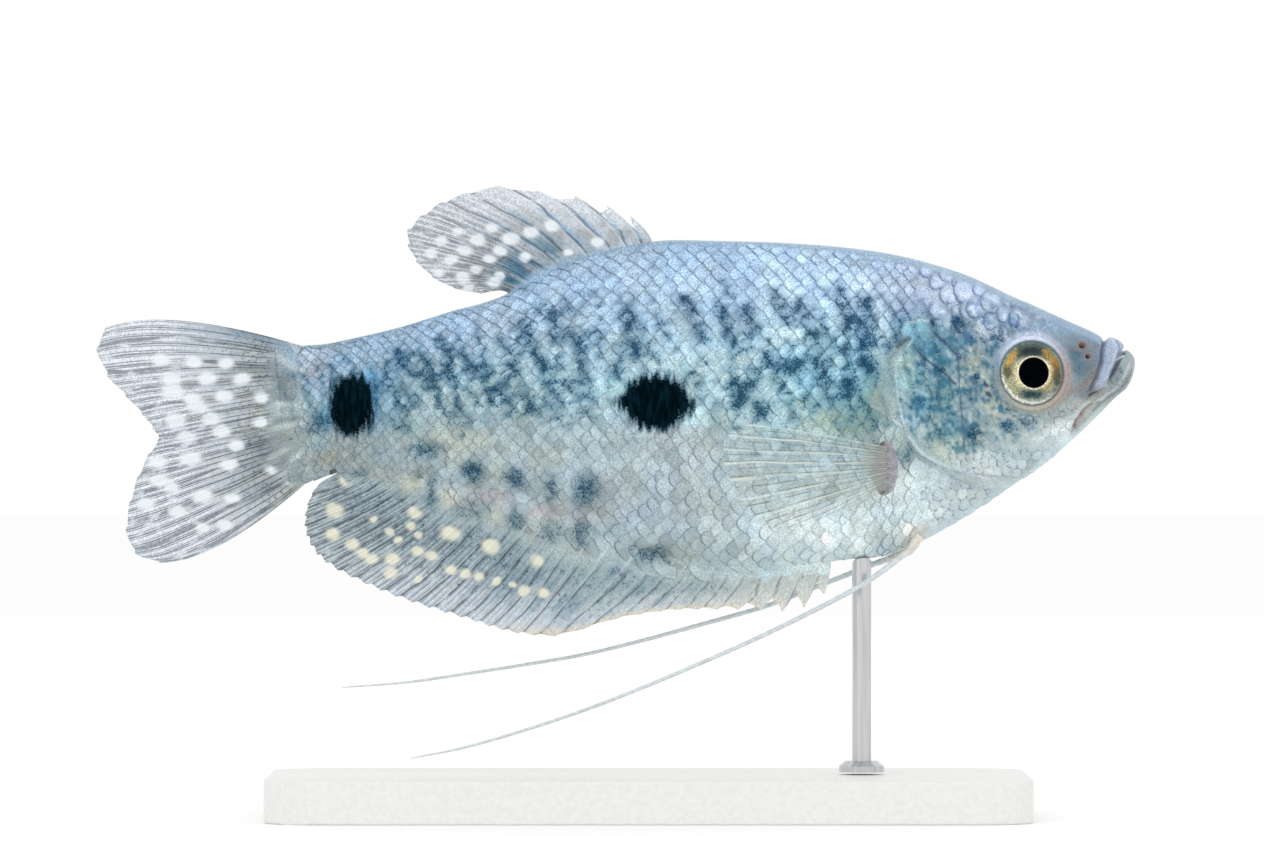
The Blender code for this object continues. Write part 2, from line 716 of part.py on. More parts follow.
def add_feeler(name, route, side):
    """A tapering thread. Its root ring lies along the belly, a gap below it."""
    last = len(route) - 1
    shares = np.linspace(0, 1, FEELER_STEPS)
    centres = through(numbered(route), shares**1.25 * last)
    thickness = [FEELER_THICK, FEELER_THICK * 0.8, FEELER_THIN, FEELER_TIP]
    radii = np.interp(shares, [0, 0.25, 0.9, 1], thickness)
    root = []
    for i in range(FEELER_SIDES):
        angle = 2 * math.pi * i / FEELER_SIDES
        x = FEELER_ROOT_X - 0.9 * math.cos(angle)
        y = side * FEELER_ROOT_Y + 0.45 * math.sin(angle)
        root.append((x, y, belly_z(x, y) - GAP))
    points = root
    across = Vector((0, 1, 0))
    for k, centre in enumerate(centres):
        ahead = centres[min(k + 1, len(centres) - 1)] - centres[max(k - 1, 0)]
        ahead = Vector(ahead).normalized()
        up = across.cross(ahead).normalized()
        aside = ahead.cross(up)
        for i in range(FEELER_SIDES):
            angle = 2 * math.pi * i / FEELER_SIDES
            outward = up * math.cos(angle) + aside * math.sin(angle)
            points.append(Vector(centre) + outward * radii[k])
    return add_object(name, points, loft_faces(len(centres) + 1, FEELER_SIDES), "feeler")


def add_stand():
    """A flat base and one short rod with a collar, whose top follows the belly."""
    length, width, height = (size / 2 for size in BASE_SIZE)
    outline = []
    for corner_x, corner_y, start in ((1, 1, 0), (-1, 1, 90), (-1, -1, 180), (1, -1, 270)):
        for step in range(7):
            angle = math.radians(start + 15 * step)
            x = BASE_X + corner_x * (length - BASE_CORNER) + BASE_CORNER * math.cos(angle)
            outline.append((x, corner_y * (width - BASE_CORNER) + BASE_CORNER * math.sin(angle)))
    count = len(outline)
    points = [(x, y, 0) for x, y in outline] + [(x, y, 2 * height) for x, y in outline]
    walls = [(i, (i + 1) % count, count + (i + 1) % count, count + i) for i in range(count)]
    ends = [tuple(range(count))[::-1], tuple(range(count, 2 * count))]
    base = add_object("stand_base", points, ends + walls, "base")
    edge = base.modifiers.new("Edge", "BEVEL")
    edge.width = BASE_EDGE * MM
    edge.segments = 2
    edge.limit_method = "ANGLE"
    edge.angle_limit = math.radians(50)
    sides = 12
    foot = BASE_SIZE[2] + GAP
    profile = [
        (COLLAR_RADIUS, foot),
        (COLLAR_RADIUS, foot + 0.7),
        (COLLAR_RADIUS - 0.7, foot + COLLAR_HEIGHT),
        (ROD_RADIUS, foot + COLLAR_HEIGHT),
        (ROD_RADIUS, None),
    ]
    points = []
    for radius, height in profile:
        for i in range(sides):
            angle = 2 * math.pi * i / sides
            x, y = ROD_PLACE + radius * math.cos(angle), radius * math.sin(angle)
            points.append((x, y, belly_z(x, y) - GAP if height is None else height))
    add_object("stand_rod", points, loft_faces(len(profile), sides), "rod")


def main():
    clear_scene()
    add_flesh()
    add_fins()
    add_feeler("pelvic_feeler_right", RIGHT_FEELER, RIGHT)
    add_feeler("pelvic_feeler_left", LEFT_FEELER, LEFT)
    add_stand()


main()
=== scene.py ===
"""How a life-size model of a blue gourami on its display stand looks.

The CAD frame gives the solids, in metres: X towards the mouth, Y to the fish's left, Z up. Sizes and places
here are in millimetres in the same frame. Colours are the eye's values, from 0 to 255.
"""

import math

import bpy
import numpy as np
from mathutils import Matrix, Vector


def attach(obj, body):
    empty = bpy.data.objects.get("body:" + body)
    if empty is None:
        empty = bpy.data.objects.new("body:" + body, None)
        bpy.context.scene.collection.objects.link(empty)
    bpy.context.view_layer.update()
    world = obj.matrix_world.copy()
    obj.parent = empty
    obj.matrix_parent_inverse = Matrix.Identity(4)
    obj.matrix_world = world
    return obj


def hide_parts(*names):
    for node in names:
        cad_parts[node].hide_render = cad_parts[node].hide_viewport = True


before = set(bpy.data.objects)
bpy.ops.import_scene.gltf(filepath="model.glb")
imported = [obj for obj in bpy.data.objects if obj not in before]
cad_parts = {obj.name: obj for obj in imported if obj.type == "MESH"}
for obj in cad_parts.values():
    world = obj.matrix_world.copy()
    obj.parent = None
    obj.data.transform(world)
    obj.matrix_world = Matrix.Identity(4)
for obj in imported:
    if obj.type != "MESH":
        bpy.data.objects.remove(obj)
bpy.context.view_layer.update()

MM = 0.001
RIGHT, LEFT = -1, 1
SIDES = ((RIGHT, "right"), (LEFT, "left"))
GAP = 0.3  # what the CAD solids keep between them

# The body is lofted through chords, each from the back to the belly. In the head the chords lean round
# to the mouth. Columns: back x, back z, belly x, belly z, half width, keel.
BODY_CHORDS = [
    (-39.3, 54.7, -37.5, 38.5, 0.9, 0.2),
    (-34.1, 54.8, -32.9, 40.3, 1.5, 0.3),
    (-30.3, 55.5, -30.3, 40.7, 2.1, 0.4),
    (-24.8, 56.8, -24.8, 39.4, 3.1, 0.6),
    (-19.0, 58.6, -19.0, 38.1, 4.1, 0.7),
    (-13.2, 60.3, -13.2, 37.0, 5.1, 0.7),
    (-7.4, 63.4, -7.4, 34.9, 6.0, 0.7),
    (-1.6, 65.5, -1.6, 32.4, 6.8, 0.6),
    (5.0, 66.8, 5.0, 30.2, 7.4, 0.5),
    (12.3, 66.8, 12.3, 29.0, 7.9, 0.4),
    (19.2, 66.6, 19.2, 29.0, 8.2, 0.3),
    (26.2, 66.1, 26.2, 29.7, 8.3, 0.3),
    (32.0, 65.3, 32.0, 30.4, 8.2, 0.3),
    (36.6, 64.2, 36.6, 32.5, 7.9, 0.3),
    (41.2, 62.7, 41.2, 35.2, 7.3, 0.3),
    (45.9, 60.5, 45.9, 38.3, 6.5, 0.3),
    (49.9, 58.7, 49.9, 41.2, 5.6, 0.2),
    (52.8, 57.4, 53.7, 44.4, 4.8, 0.1),
    (55.1, 56.4, 56.6, 47.2, 3.9, 0.0),
    (56.8, 55.5, 58.6, 49.3, 3.1, 0.0),
    (57.7, 55.3, 59.6, 50.8, 2.5, 0.0),
    (58.5, 54.9, 60.0, 52.3, 1.9, 0.0),
    (58.8, 54.3, 59.9, 53.3, 1.2, 0.0),
    (58.6, 53.7, 59.2, 53.4, 0.6, 0.0),
    (58.3, 53.2, 58.4, 53.2, 0.1, 0.0),
]
BACK, BELLY = 1, 3  # columns that hold the heights of the back and the belly
CHORD_STEPS = 16  # rows of the surface table for each chord
SIDE_STEPS = 120  # columns of the surface table down each side
WIDEST = 0.1  # the widest height of a chord, from -1 at the belly to 1 at the back
BACK_KEEL = 0.15  # how much sharper than round the back is
# The tail fin's base, from its top down.
TAIL_BASE = [(-36.0, 54.6), (-37.5, 50.9), (-38.0, 47.2), (-37.4, 43.1), (-34.5, 39.8)]

# Each fin is a table of its rays: ray number, place of the base, then the tip's x and z. The place is x in
# the fins over and under the body, a share of the way down the base in the tail, and z in the pectoral fins.
DORSAL_RAYS = [
    (0, 4.6, 1.9, 69.7), (1, 3.2, -0.8, 70.9), (2, 1.4, -4.4, 72.0), (3, -0.7, -8.8, 72.6),
    (4, -2.9, -13.4, 73.2), (5, -4.7, -17.4, 72.3), (6, -6.3, -20.2, 71.2), (7, -7.6, -22.4, 69.7),
    (8, -8.7, -23.9, 68.1), (9, -9.6, -23.9, 66.3), (10, -10.3, -22.9, 64.4), (11, -10.9, -21.0, 62.6),
    (12, -11.4, -18.4, 61.3), (13, -11.9, -15.4, 60.7),
]
DORSAL_SPINES = 5
DORSAL_NOTCH = (0.75, 2.2)  # depth ahead of the first spines, and the spine by which it has faded
ANAL_RAYS = [
    (0, 25.2, 24.4, 25.9), (1, 23.7, 22.0, 24.3), (2, 21.6, 19.5, 23.8), (3, 19.5, 16.9, 24.0),
    (5, 15.2, 11.9, 24.1), (8, 10.2, 5.4, 23.9), (10, 7.2, 0.2, 23.0), (12, 2.8, -6.9, 21.0),
    (13, -0.2, -9.2, 21.1), (18, -7.4, -17.7, 23.2), (23, -14.4, -27.0, 26.3), (28, -20.6, -34.4, 30.5),
    (32, -26.0, -35.8, 35.0), (35, -30.0, -34.2, 38.6), (36, -31.2, -33.2, 39.3),
]
ANAL_SPINES = 13
ANAL_NOTCH = (0.6, 3.4)
TAIL_RAYS = [
    (0, 0.0, -59.0, 56.7), (1, 0.08, -60.0, 54.2), (2, 0.17, -58.7, 51.1), (3, 0.25, -56.6, 48.8),
    (4, 0.33, -54.7, 46.7), (5, 0.42, -53.5, 45.1), (6, 0.5, -52.9, 43.7), (7, 0.58, -54.0, 42.0),
    (8, 0.67, -55.3, 39.3), (9, 0.75, -56.2, 36.4), (10, 0.83, -56.6, 33.3), (11, 0.92, -55.5, 30.6),
    (12, 1.0, -52.6, 29.5),
]
TAIL_BOW = 3.3  # how far the outer tail rays bend outwards
TAIL_REACH = 0.72  # where along them they bend most
TAIL_SWING = 1.2  # sideways sweep of the tail fin's tips
PECTORAL_RAYS = [
    (0, 43.0, 15.3, 45.6), (1, 42.4, 13.2, 44.5), (2, 41.8, 12.5, 42.9), (3, 41.2, 12.6, 41.2),
    (4, 40.6, 13.2, 39.3), (5, 40.1, 14.4, 37.1), (6, 39.6, 16.3, 35.0), (7, 39.1, 18.6, 33.8),
    (8, 38.6, 21.5, 33.8), (9, 38.1, 25.3, 35.4),
]
PECTORAL_BASE_X = 30.8
PECTORAL_SPREAD = 0.17  # how fast the fin leaves the side, for each mm of its length
# The render's fins are finer than the solids: half thicknesses of membrane, rays and margin.
SHEET, RIB_ROOT, RIB_TIP, MARGIN_HALF = 0.13, 0.34, 0.2, 0.09
ROOT_DEPTH = 0.5  # how far fins start inside the flesh
# The ground colours of the fins, by the share of the way out.
DORSAL_GROUND = [(0, 154, 176, 190), (0.3, 184, 190, 194), (0.6, 204, 210, 216), (1, 214, 220, 226)]
ANAL_GROUND = [(0, 160, 184, 190), (0.4, 166, 186, 192), (0.75, 200, 212, 218), (1, 206, 212, 212)]
TAIL_GROUND = [(0, 172, 180, 180), (0.2, 190, 198, 202), (0.5, 212, 219, 226), (1, 216, 223, 231)]
PECTORAL_GROUND = [(0, 176, 180, 176), (0.15, 196, 206, 200), (0.5, 200, 212, 208), (1, 210, 222, 220)]

# The feelers are the long first rays of the pelvic fins: x, y, z.
RIGHT_FEELER = [
    (34.6, -1.7, 31.2), (33.2, -2.0, 30.3), (31.2, -2.3, 28.7), (28.3, -2.7, 26.8), (24.4, -3.0, 24.7),
    (17.5, -3.5, 21.3), (10.5, -4.0, 18.2), (3.6, -4.5, 15.3), (-3.4, -5.0, 12.6), (-10.3, -5.5, 10.3),
    (-17.3, -5.9, 8.3), (-23.3, -6.2, 7.1),
]
LEFT_FEELER = [
    (34.4, 1.7, 31.1), (32.0, 2.2, 30.0), (29.7, 2.5, 29.2), (26.8, 2.8, 28.0), (22.7, 3.2, 26.4),
    (17.5, 3.7, 24.4), (10.5, 4.2, 22.4), (3.6, 4.7, 20.5), (-3.4, 5.3, 18.8), (-10.3, 5.9, 17.6),
    (-17.3, 6.5, 16.5), (-24.2, 7.0, 15.5), (-31.7, 7.4, 14.9),
]
FEELER_ROOT_X = 35.2
FEELER_ROOT_Y = 1.6
# Half thickness and colour by the share of the feeler's length.
FEELER_PROFILE = [(0, 0.75), (0.03, 0.5), (0.12, 0.38), (0.3, 0.3), (0.9, 0.17), (1, 0.07)]
FEELER_GROUND = [(0, 222, 214, 200), (0.1, 214, 216, 212), (0.6, 208, 216, 218), (1, 214, 220, 222)]
FEELER_JOINT = 1.1  # length of a joint

# The body's ground colour by height, from 0 at the belly to 1 at the back.
BODY_TINTS = [
    (0.0, 172, 188, 190), (0.15, 172, 188, 192), (0.35, 166, 186, 192), (0.55, 167, 195, 204),
    (0.75, 161, 188, 206), (0.92, 160, 186, 212), (1.0, 146, 172, 196),
]
# Soft patches of colour on it: x, z, half width, half height, colour, strength.
TINTS = [
    (-28.0, 53.0, 7.0, 2.6, (134, 166, 190), 0.6), (-20.0, 49.5, 8.0, 4.0, (150, 180, 194), 0.4),
    (-31.5, 43.5, 5.0, 3.0, (168, 180, 178), 0.6), (-35.6, 53.6, 1.3, 1.0, (186, 203, 220), 0.7),
    (-34.2, 52.4, 1.0, 1.0, (178, 164, 170), 0.6), (-35.6, 51.6, 1.0, 0.6, (178, 164, 164), 0.55),
    (-33.8, 50.2, 1.2, 1.4, (160, 170, 198), 0.6), (-37.6, 48.2, 2.2, 2.2, (186, 190, 184), 0.7),
    (-37.2, 46.0, 1.8, 1.0, (182, 186, 182), 0.6), (-34.2, 43.1, 1.2, 1.0, (150, 192, 210), 0.75),
    (-32.4, 41.6, 2.6, 1.4, (174, 178, 164), 0.7), (-38.9, 42.8, 2.0, 2.4, (146, 152, 146), 0.6),
    (-39.4, 51.8, 1.6, 1.8, (132, 140, 140), 0.6), (-27.6, 48.4, 0.6, 2.6, (44, 118, 176), 0.9),
    (-28.6, 50.8, 0.7, 0.8, (90, 160, 200), 0.8), (-33.3, 46.4, 0.6, 1.4, (124, 188, 222), 0.9),
    (-33.6, 48.8, 0.8, 1.2, (170, 204, 222), 0.7), (-25.6, 47.0, 1.4, 3.0, (132, 180, 208), 0.5),
    (-23.0, 44.6, 1.8, 1.0, (140, 184, 196), 0.5), (-13.0, 43.4, 8.0, 1.6, (178, 190, 184), 0.6),
    (-18.0, 44.0, 3.0, 1.2, (196, 204, 192), 0.5), (-23.5, 38.7, 1.2, 1.0, (212, 214, 196), 0.75),
    (-18.9, 36.8, 1.1, 1.0, (212, 214, 198), 0.7), (-13.7, 35.1, 0.9, 1.0, (214, 216, 198), 0.65),
    (-9.3, 34.5, 0.9, 0.9, (206, 210, 196), 0.6), (-14.0, 37.2, 2.4, 0.9, (172, 160, 168), 0.55),
    (-8.0, 35.6, 2.4, 0.9, (176, 162, 168), 0.55), (-3.0, 35.4, 1.6, 1.0, (176, 172, 176), 0.5),
    (4.0, 35.5, 5.0, 3.2, (160, 172, 184), 0.5), (7.0, 42.6, 6.0, 3.0, (176, 182, 184), 0.6),
    (14.0, 34.0, 7.0, 3.0, (176, 194, 202), 0.45), (23.0, 33.0, 5.0, 3.0, (214, 226, 228), 0.8),
    (16.0, 38.0, 5.0, 3.0, (190, 204, 202), 0.5), (34.9, 33.2, 1.4, 0.8, (176, 146, 116), 0.8),
    (0.2, 49.6, 1.4, 1.2, (172, 214, 220), 0.7), (9.2, 46.6, 1.0, 1.2, (176, 212, 218), 0.6),
    (12.0, 50.6, 1.4, 1.8, (186, 208, 208), 0.5), (20.0, 47.6, 2.6, 2.4, (176, 206, 208), 0.75),
    (17.5, 45.4, 1.0, 1.4, (160, 196, 200), 0.5), (26.0, 46.2, 3.8, 2.2, (116, 134, 118), 0.8),
    (24.4, 45.6, 1.6, 1.2, (160, 170, 150), 0.4), (22.0, 52.6, 2.4, 2.4, (112, 172, 200), 0.7),
    (27.6, 50.6, 3.4, 3.4, (104, 162, 176), 0.6), (30.2, 48.6, 1.8, 3.0, (112, 140, 124), 0.6),
    (24.8, 51.6, 1.4, 2.6, (186, 212, 212), 0.7), (20.6, 55.6, 2.6, 1.2, (196, 214, 214), 0.55),
    (30.2, 57.0, 3.0, 2.4, (178, 206, 218), 0.5), (38.0, 62.0, 8.0, 4.0, (182, 198, 230), 0.65),
    (50.0, 57.5, 6.0, 3.0, (142, 172, 196), 0.7), (40.0, 35.5, 7.0, 4.0, (226, 240, 242), 0.85),
    (34.0, 38.6, 4.0, 3.2, (220, 234, 234), 0.7), (31.2, 41.0, 1.2, 2.4, (160, 158, 166), 0.4),
    (45.0, 46.0, 7.0, 5.0, (146, 182, 196), 0.6), (51.5, 43.5, 6.0, 4.0, (214, 228, 228), 0.75),
    (58.5, 50.6, 2.4, 3.0, (148, 158, 156), 0.8), (57.2, 53.2, 1.5, 2.6, (160, 178, 196), 0.85),
    (34.7, 56.6, 1.8, 1.0, (142, 200, 224), 0.9), (36.4, 55.0, 2.2, 1.0, (150, 192, 220), 0.6),
    (34.3, 52.4, 1.4, 1.7, (180, 200, 178), 0.85), (34.0, 50.4, 0.9, 1.2, (140, 188, 190), 0.7),
    (38.0, 53.9, 1.2, 1.4, (170, 200, 214), 0.6), (37.6, 49.6, 1.6, 1.6, (142, 176, 176), 0.7),
    (41.7, 53.3, 1.1, 2.0, (200, 212, 204), 0.75), (41.0, 58.6, 1.4, 1.2, (206, 222, 238), 0.8),
    (38.0, 60.9, 1.6, 0.9, (204, 220, 238), 0.75), (40.9, 60.4, 1.0, 0.9, (198, 212, 236), 0.6),
    (37.4, 58.6, 1.0, 0.9, (170, 192, 218), 0.6), (42.3, 57.4, 1.6, 1.2, (212, 226, 238), 0.75),
    (38.0, 55.4, 1.4, 0.8, (190, 218, 232), 0.6), (35.6, 48.1, 1.4, 1.0, (92, 166, 196), 0.7),
    (37.8, 47.3, 1.4, 1.4, (100, 156, 170), 0.5), (35.2, 43.0, 2.8, 1.6, (148, 168, 164), 0.6),
    (39.2, 45.1, 1.5, 1.9, (108, 168, 186), 0.6), (38.9, 42.3, 1.9, 1.4, (212, 218, 200), 0.75),
    (44.1, 47.2, 1.2, 1.0, (232, 230, 214), 0.85), (43.4, 49.0, 1.2, 1.8, (196, 206, 192), 0.6),
    (50.2, 47.2, 2.1, 1.0, (148, 162, 162), 0.5), (52.1, 48.4, 1.4, 1.2, (150, 165, 170), 0.5),
    (54.7, 49.1, 1.2, 1.0, (136, 144, 162), 0.75), (53.5, 47.7, 1.4, 0.7, (222, 236, 236), 0.9),
    (50.5, 44.9, 2.5, 1.2, (230, 242, 242), 0.85), (47.3, 42.3, 3.5, 1.2, (196, 210, 206), 0.5),
    (43.0, 40.3, 3.9, 1.6, (230, 240, 242), 0.75), (53.7, 52.3, 1.9, 1.7, (128, 158, 174), 0.7),
    (55.6, 53.9, 1.2, 1.4, (160, 180, 202), 0.6), (52.4, 56.0, 1.4, 0.9, (150, 176, 192), 0.5),
    (48.2, 57.9, 0.9, 1.2, (146, 160, 178), 0.5), (53.1, 53.7, 0.9, 0.7, (112, 138, 162), 0.7),
    (55.4, 50.9, 0.9, 1.6, (172, 152, 142), 0.5), (52.1, 50.4, 0.5, 2.3, (156, 144, 140), 0.5),
    (56.3, 49.3, 0.9, 0.9, (176, 158, 148), 0.5), (54.0, 45.6, 1.2, 0.9, (168, 158, 150), 0.4),
    (44.7, 59.9, 1.6, 1.4, (140, 170, 205), 0.4), (36.6, 54.2, 2.8, 2.6, (78, 144, 170), 0.7),
    (16.0, 52.4, 7.0, 4.6, (184, 216, 226), 0.5), (27.0, 55.0, 4.0, 4.0, (150, 196, 214), 0.5),
    (38.5, 61.5, 8.0, 2.6, (200, 218, 240), 0.5), (54.5, 55.0, 3.0, 2.2, (136, 164, 184), 0.45),
]
# The soft colour round the dark marks, by z.
HALO = [
    (38.0, 104, 146, 158), (46.0, 94, 150, 168), (52.0, 88, 150, 182),
    (58.0, 106, 152, 190), (64.0, 128, 162, 204),
]
# How light the body is along x, and what the belly adds to it.
LIGHT_ALONG = [
    (-40, 0.95), (-33, 0.92), (-10, 1.02), (12, 1.05), (24, 1.14), (34, 0.97), (40, 0.91), (58, 0.86),
]
LIGHT_BELOW = [(-10, -0.04), (8, -0.05), (20, 0.0), (40, 0.08), (50, 0.14)]
# How strong the fine speckle is, by height and along x.
GRAIN_HEIGHT = [(0, 0.55), (0.35, 0.75), (0.55, 1.0), (1, 1.0)]
GRAIN_ALONG = [(32, 1.0), (40, 0.75), (56, 0.65)]
FAN_CENTRE = (-28.0, 47.3)  # where the streaks at the tail's base spread out from

# The black spots: x, z, then half width and half height of their round middle and of their points.
SPOTS = [(-30.3, 47.7, 2.75, 3.6, 2.6, 4.0), (4.8, 48.1, 3.6, 3.3, 4.8, 2.9)]
INK = (20, 62, 90)  # the dark marks
# The scales' rear edges are partly their own dark rims, partly painted shade, and darker on the lower side.
MARGIN = (54, 76, 108)  # the scales' dark rear edges
# Dark streaks along the flank, placed one by one: half width, strength, and the line's points.
STREAKS = [
    (0.41, 0.9, [(-25.1, 53.9), (-24.3, 52.3), (-23.2, 51.6), (-22.0, 50.4), (-21.1, 49.9)]),
    (0.29, 0.7, [(-23.5, 53.9), (-22.7, 52.8)]),
    (0.41, 0.6, [(-25.4, 51.6), (-24.8, 50.4)]),
    (0.46, 0.6, [(-24.7, 50.2), (-23.4, 49.1), (-22.7, 47.9)]),
    (0.35, 0.8, [(-20.2, 55.5), (-19.7, 53.9)]),
    (0.41, 0.9, [(-18.5, 53.9), (-17.1, 53.2), (-16.2, 52.1), (-16.0, 51.0)]),
    (0.46, 0.8, [(-19.8, 51.9), (-19.0, 51.1), (-18.2, 50.3)]),
    (0.35, 0.7, [(-14.6, 53.0), (-14.0, 51.1)]),
    (0.41, 0.9, [(-13.0, 55.3), (-12.2, 53.9), (-11.6, 52.3), (-10.9, 50.2), (-10.2, 48.6), (-9.7, 47.0)]),
    (0.35, 0.8, [(-13.2, 50.2), (-12.5, 48.6), (-11.9, 46.3)]),
    (0.52, 1, [(-10.5, 56.7), (-9.5, 54.2), (-8.5, 53.0), (-7.9, 51.1), (-7.3, 49.6)]),
    (0.35, 0.7, [(-7.9, 48.4), (-7.2, 46.3)]),
    (0.29, 0.6, [(-18.3, 47.9), (-18.1, 46.0), (-17.5, 44.0)]),
    (0.29, 0.7, [(-16.7, 49.5), (-16.0, 48.6)]),
    (0.29, 0.5, [(-25.3, 46.5), (-25.0, 44.9)]),
    (0.29, 0.5, [(-23.9, 46.0), (-23.4, 44.4)]),
    (0.29, 0.5, [(-22.0, 43.0), (-21.2, 41.6)]),
    (0.29, 0.5, [(-20.4, 43.3), (-19.6, 42.6)]),
    (0.35, 0.4, [(-23.2, 42.0), (-22.6, 39.6)]),
    (0.52, 0.5, [(-16.7, 40.9), (-16.1, 39.8)]),
    (0.52, 0.5, [(-11.8, 40.3), (-10.8, 39.6)]),
    (0.35, 0.4, [(-21.2, 40.5), (-20.8, 38.9)]),
    (0.41, 0.6, [(-8.9, 59.2), (-8.5, 58.1)]),
    (0.46, 0.9, [(-7.3, 58.6), (-6.8, 56.9), (-6.5, 55.1)]),
    (0.35, 0.8, [(-5.6, 59.7), (-4.6, 58.3)]),
    (0.41, 0.9, [(-4.9, 56.2), (-4.1, 54.2), (-3.6, 52.5), (-3.9, 51.4), (-3.4, 50.4)]),
    (0.35, 0.6, [(-3.8, 60.6), (-3.9, 59.0)]),
    (0.35, 0.7, [(-2.3, 60.6), (-1.6, 59.0)]),
    (0.46, 0.8, [(-3.6, 49.3), (-2.7, 48.6)]),
    (0.35, 0.6, [(-3.0, 47.7), (-2.9, 45.8)]),
    (0.35, 0.5, [(-4.4, 47.0), (-5.0, 45.1)]),
    (0.52, 0.6, [(-7.4, 48.0), (-6.1, 47.0)]),
    (0.35, 0.7, [(-3.4, 56.2), (-3.0, 55.5)]),
    (0.41, 0.9, [(-1.9, 56.2), (-1.5, 55.5)]),
    (0.35, 0.5, [(-3.0, 54.7), (-1.6, 54.7)]),
    (0.52, 1, [(1.5, 59.0), (2.0, 57.4), (1.7, 56.0), (2.1, 54.2), (2.7, 53.5)]),
    (0.35, 0.8, [(0.6, 54.8), (0.9, 53.2), (0.1, 52.3), (0.7, 50.9)]),
    (0.29, 0.6, [(-1.2, 52.8), (-0.7, 51.4)]),
    (0.35, 0.7, [(5.4, 57.6), (6.3, 56.0)]),
    (0.29, 0.5, [(5.0, 55.3), (4.7, 54.6)]),
    (0.52, 0.9, [(8.2, 59.9), (9.3, 58.1), (10.0, 56.5), (10.2, 55.5)]),
    (0.35, 0.5, [(9.4, 54.6), (10.0, 53.9)]),
    (0.29, 0.5, [(7.4, 54.2), (7.6, 53.0)]),
    (0.35, 0.8, [(9.0, 51.6), (9.7, 50.4), (10.0, 49.1)]),
    (0.41, 0.7, [(12.9, 61.7), (13.4, 60.4)]),
    (0.52, 1, [(12.2, 58.8), (13.0, 57.4), (13.4, 55.8), (13.8, 54.8)]),
    (0.46, 0.7, [(13.2, 52.3), (13.8, 51.1)]),
    (0.52, 1, [(13.7, 50.2), (14.4, 48.6), (14.1, 47.4)]),
    (0.35, 0.6, [(13.9, 46.7), (14.1, 45.3)]),
    (0.46, 0.9, [(14.8, 59.7), (15.5, 57.9)]),
    (0.58, 1, [(15.5, 57.6), (16.0, 56.1)]),
    (0.46, 0.9, [(18.4, 60.9), (19.1, 59.2), (19.7, 57.4)]),
    (0.58, 1, [(21.3, 59.2), (22.2, 57.9)]),
    (0.41, 0.6, [(21.9, 56.9), (22.1, 55.5)]),
    (0.52, 1, [(22.8, 56.2), (22.9, 54.7), (23.2, 53.2), (23.9, 51.8), (24.7, 50.4)]),
    (0.35, 0.8, [(20.2, 54.8), (20.4, 53.2)]),
    (0.87, 1, [(19.1, 52.2), (20.7, 52.1)]),
    (0.35, 1, [(17.4, 53.5), (18.1, 51.8), (18.8, 50.2), (20.2, 49.1)]),
    (0.46, 0.9, [(15.5, 52.3), (16.6, 51.1)]),
    (0.52, 0.9, [(15.9, 50.2), (15.1, 49.3), (13.9, 48.8)]),
    (0.46, 1, [(16.4, 47.9), (16.7, 46.3)]),
    (0.41, 0.7, [(25.9, 61.8), (26.5, 60.2)]),
    (0.52, 1, [(26.5, 59.7), (27.2, 58.3), (26.8, 56.9)]),
    (0.52, 1, [(29.2, 59.9), (28.5, 58.1), (28.8, 56.5), (29.7, 55.1)]),
    (0.52, 1, [(26.6, 54.7), (26.9, 53.0), (26.8, 50.9), (26.9, 49.1)]),
    (0.52, 0.9, [(25.9, 49.3), (24.6, 48.1)]),
    (0.52, 1, [(29.0, 55.1), (28.7, 53.5), (29.2, 51.4)]),
    (0.64, 0.7, [(30.1, 51.6), (30.8, 50.2)]),
    (0.46, 0.8, [(20.2, 47.9), (20.5, 46.0)]),
    (0.46, 0.7, [(22.5, 48.8), (23.3, 47.2)]),
    (0.35, 0.7, [(32.7, 58.8), (32.4, 56.5), (33.1, 54.7)]),
    (0.41, 0.8, [(31.6, 54.8), (32.3, 53.7)]),
    (0.58, 0.6, [(28.0, 47.9), (27.6, 46.0)]),
    (0.52, 0.7, [(29.2, 46.7), (30.1, 44.9)]),
    (0.81, 0.35, [(10.9, 48.6), (11.8, 45.6)]),
    (0.13, 0.9, [(10.6, 52.3), (11.2, 53.2)]),
    (0.13, 0.9, [(13.9, 53.5), (14.8, 54.2), (16.3, 54.2)]),
    (0.13, 0.9, [(17.5, 55.4), (18.8, 54.2)]),
    (0.13, 0.9, [(19.6, 55.1), (20.7, 54.7)]),
    (0.13, 0.9, [(22.6, 55.1), (23.5, 54.8)]),
    (0.2, 0.9, [(25.3, 55.6), (25.5, 55.6)]),
    (0.2, 0.9, [(27.4, 55.9), (27.6, 55.9)]),
]
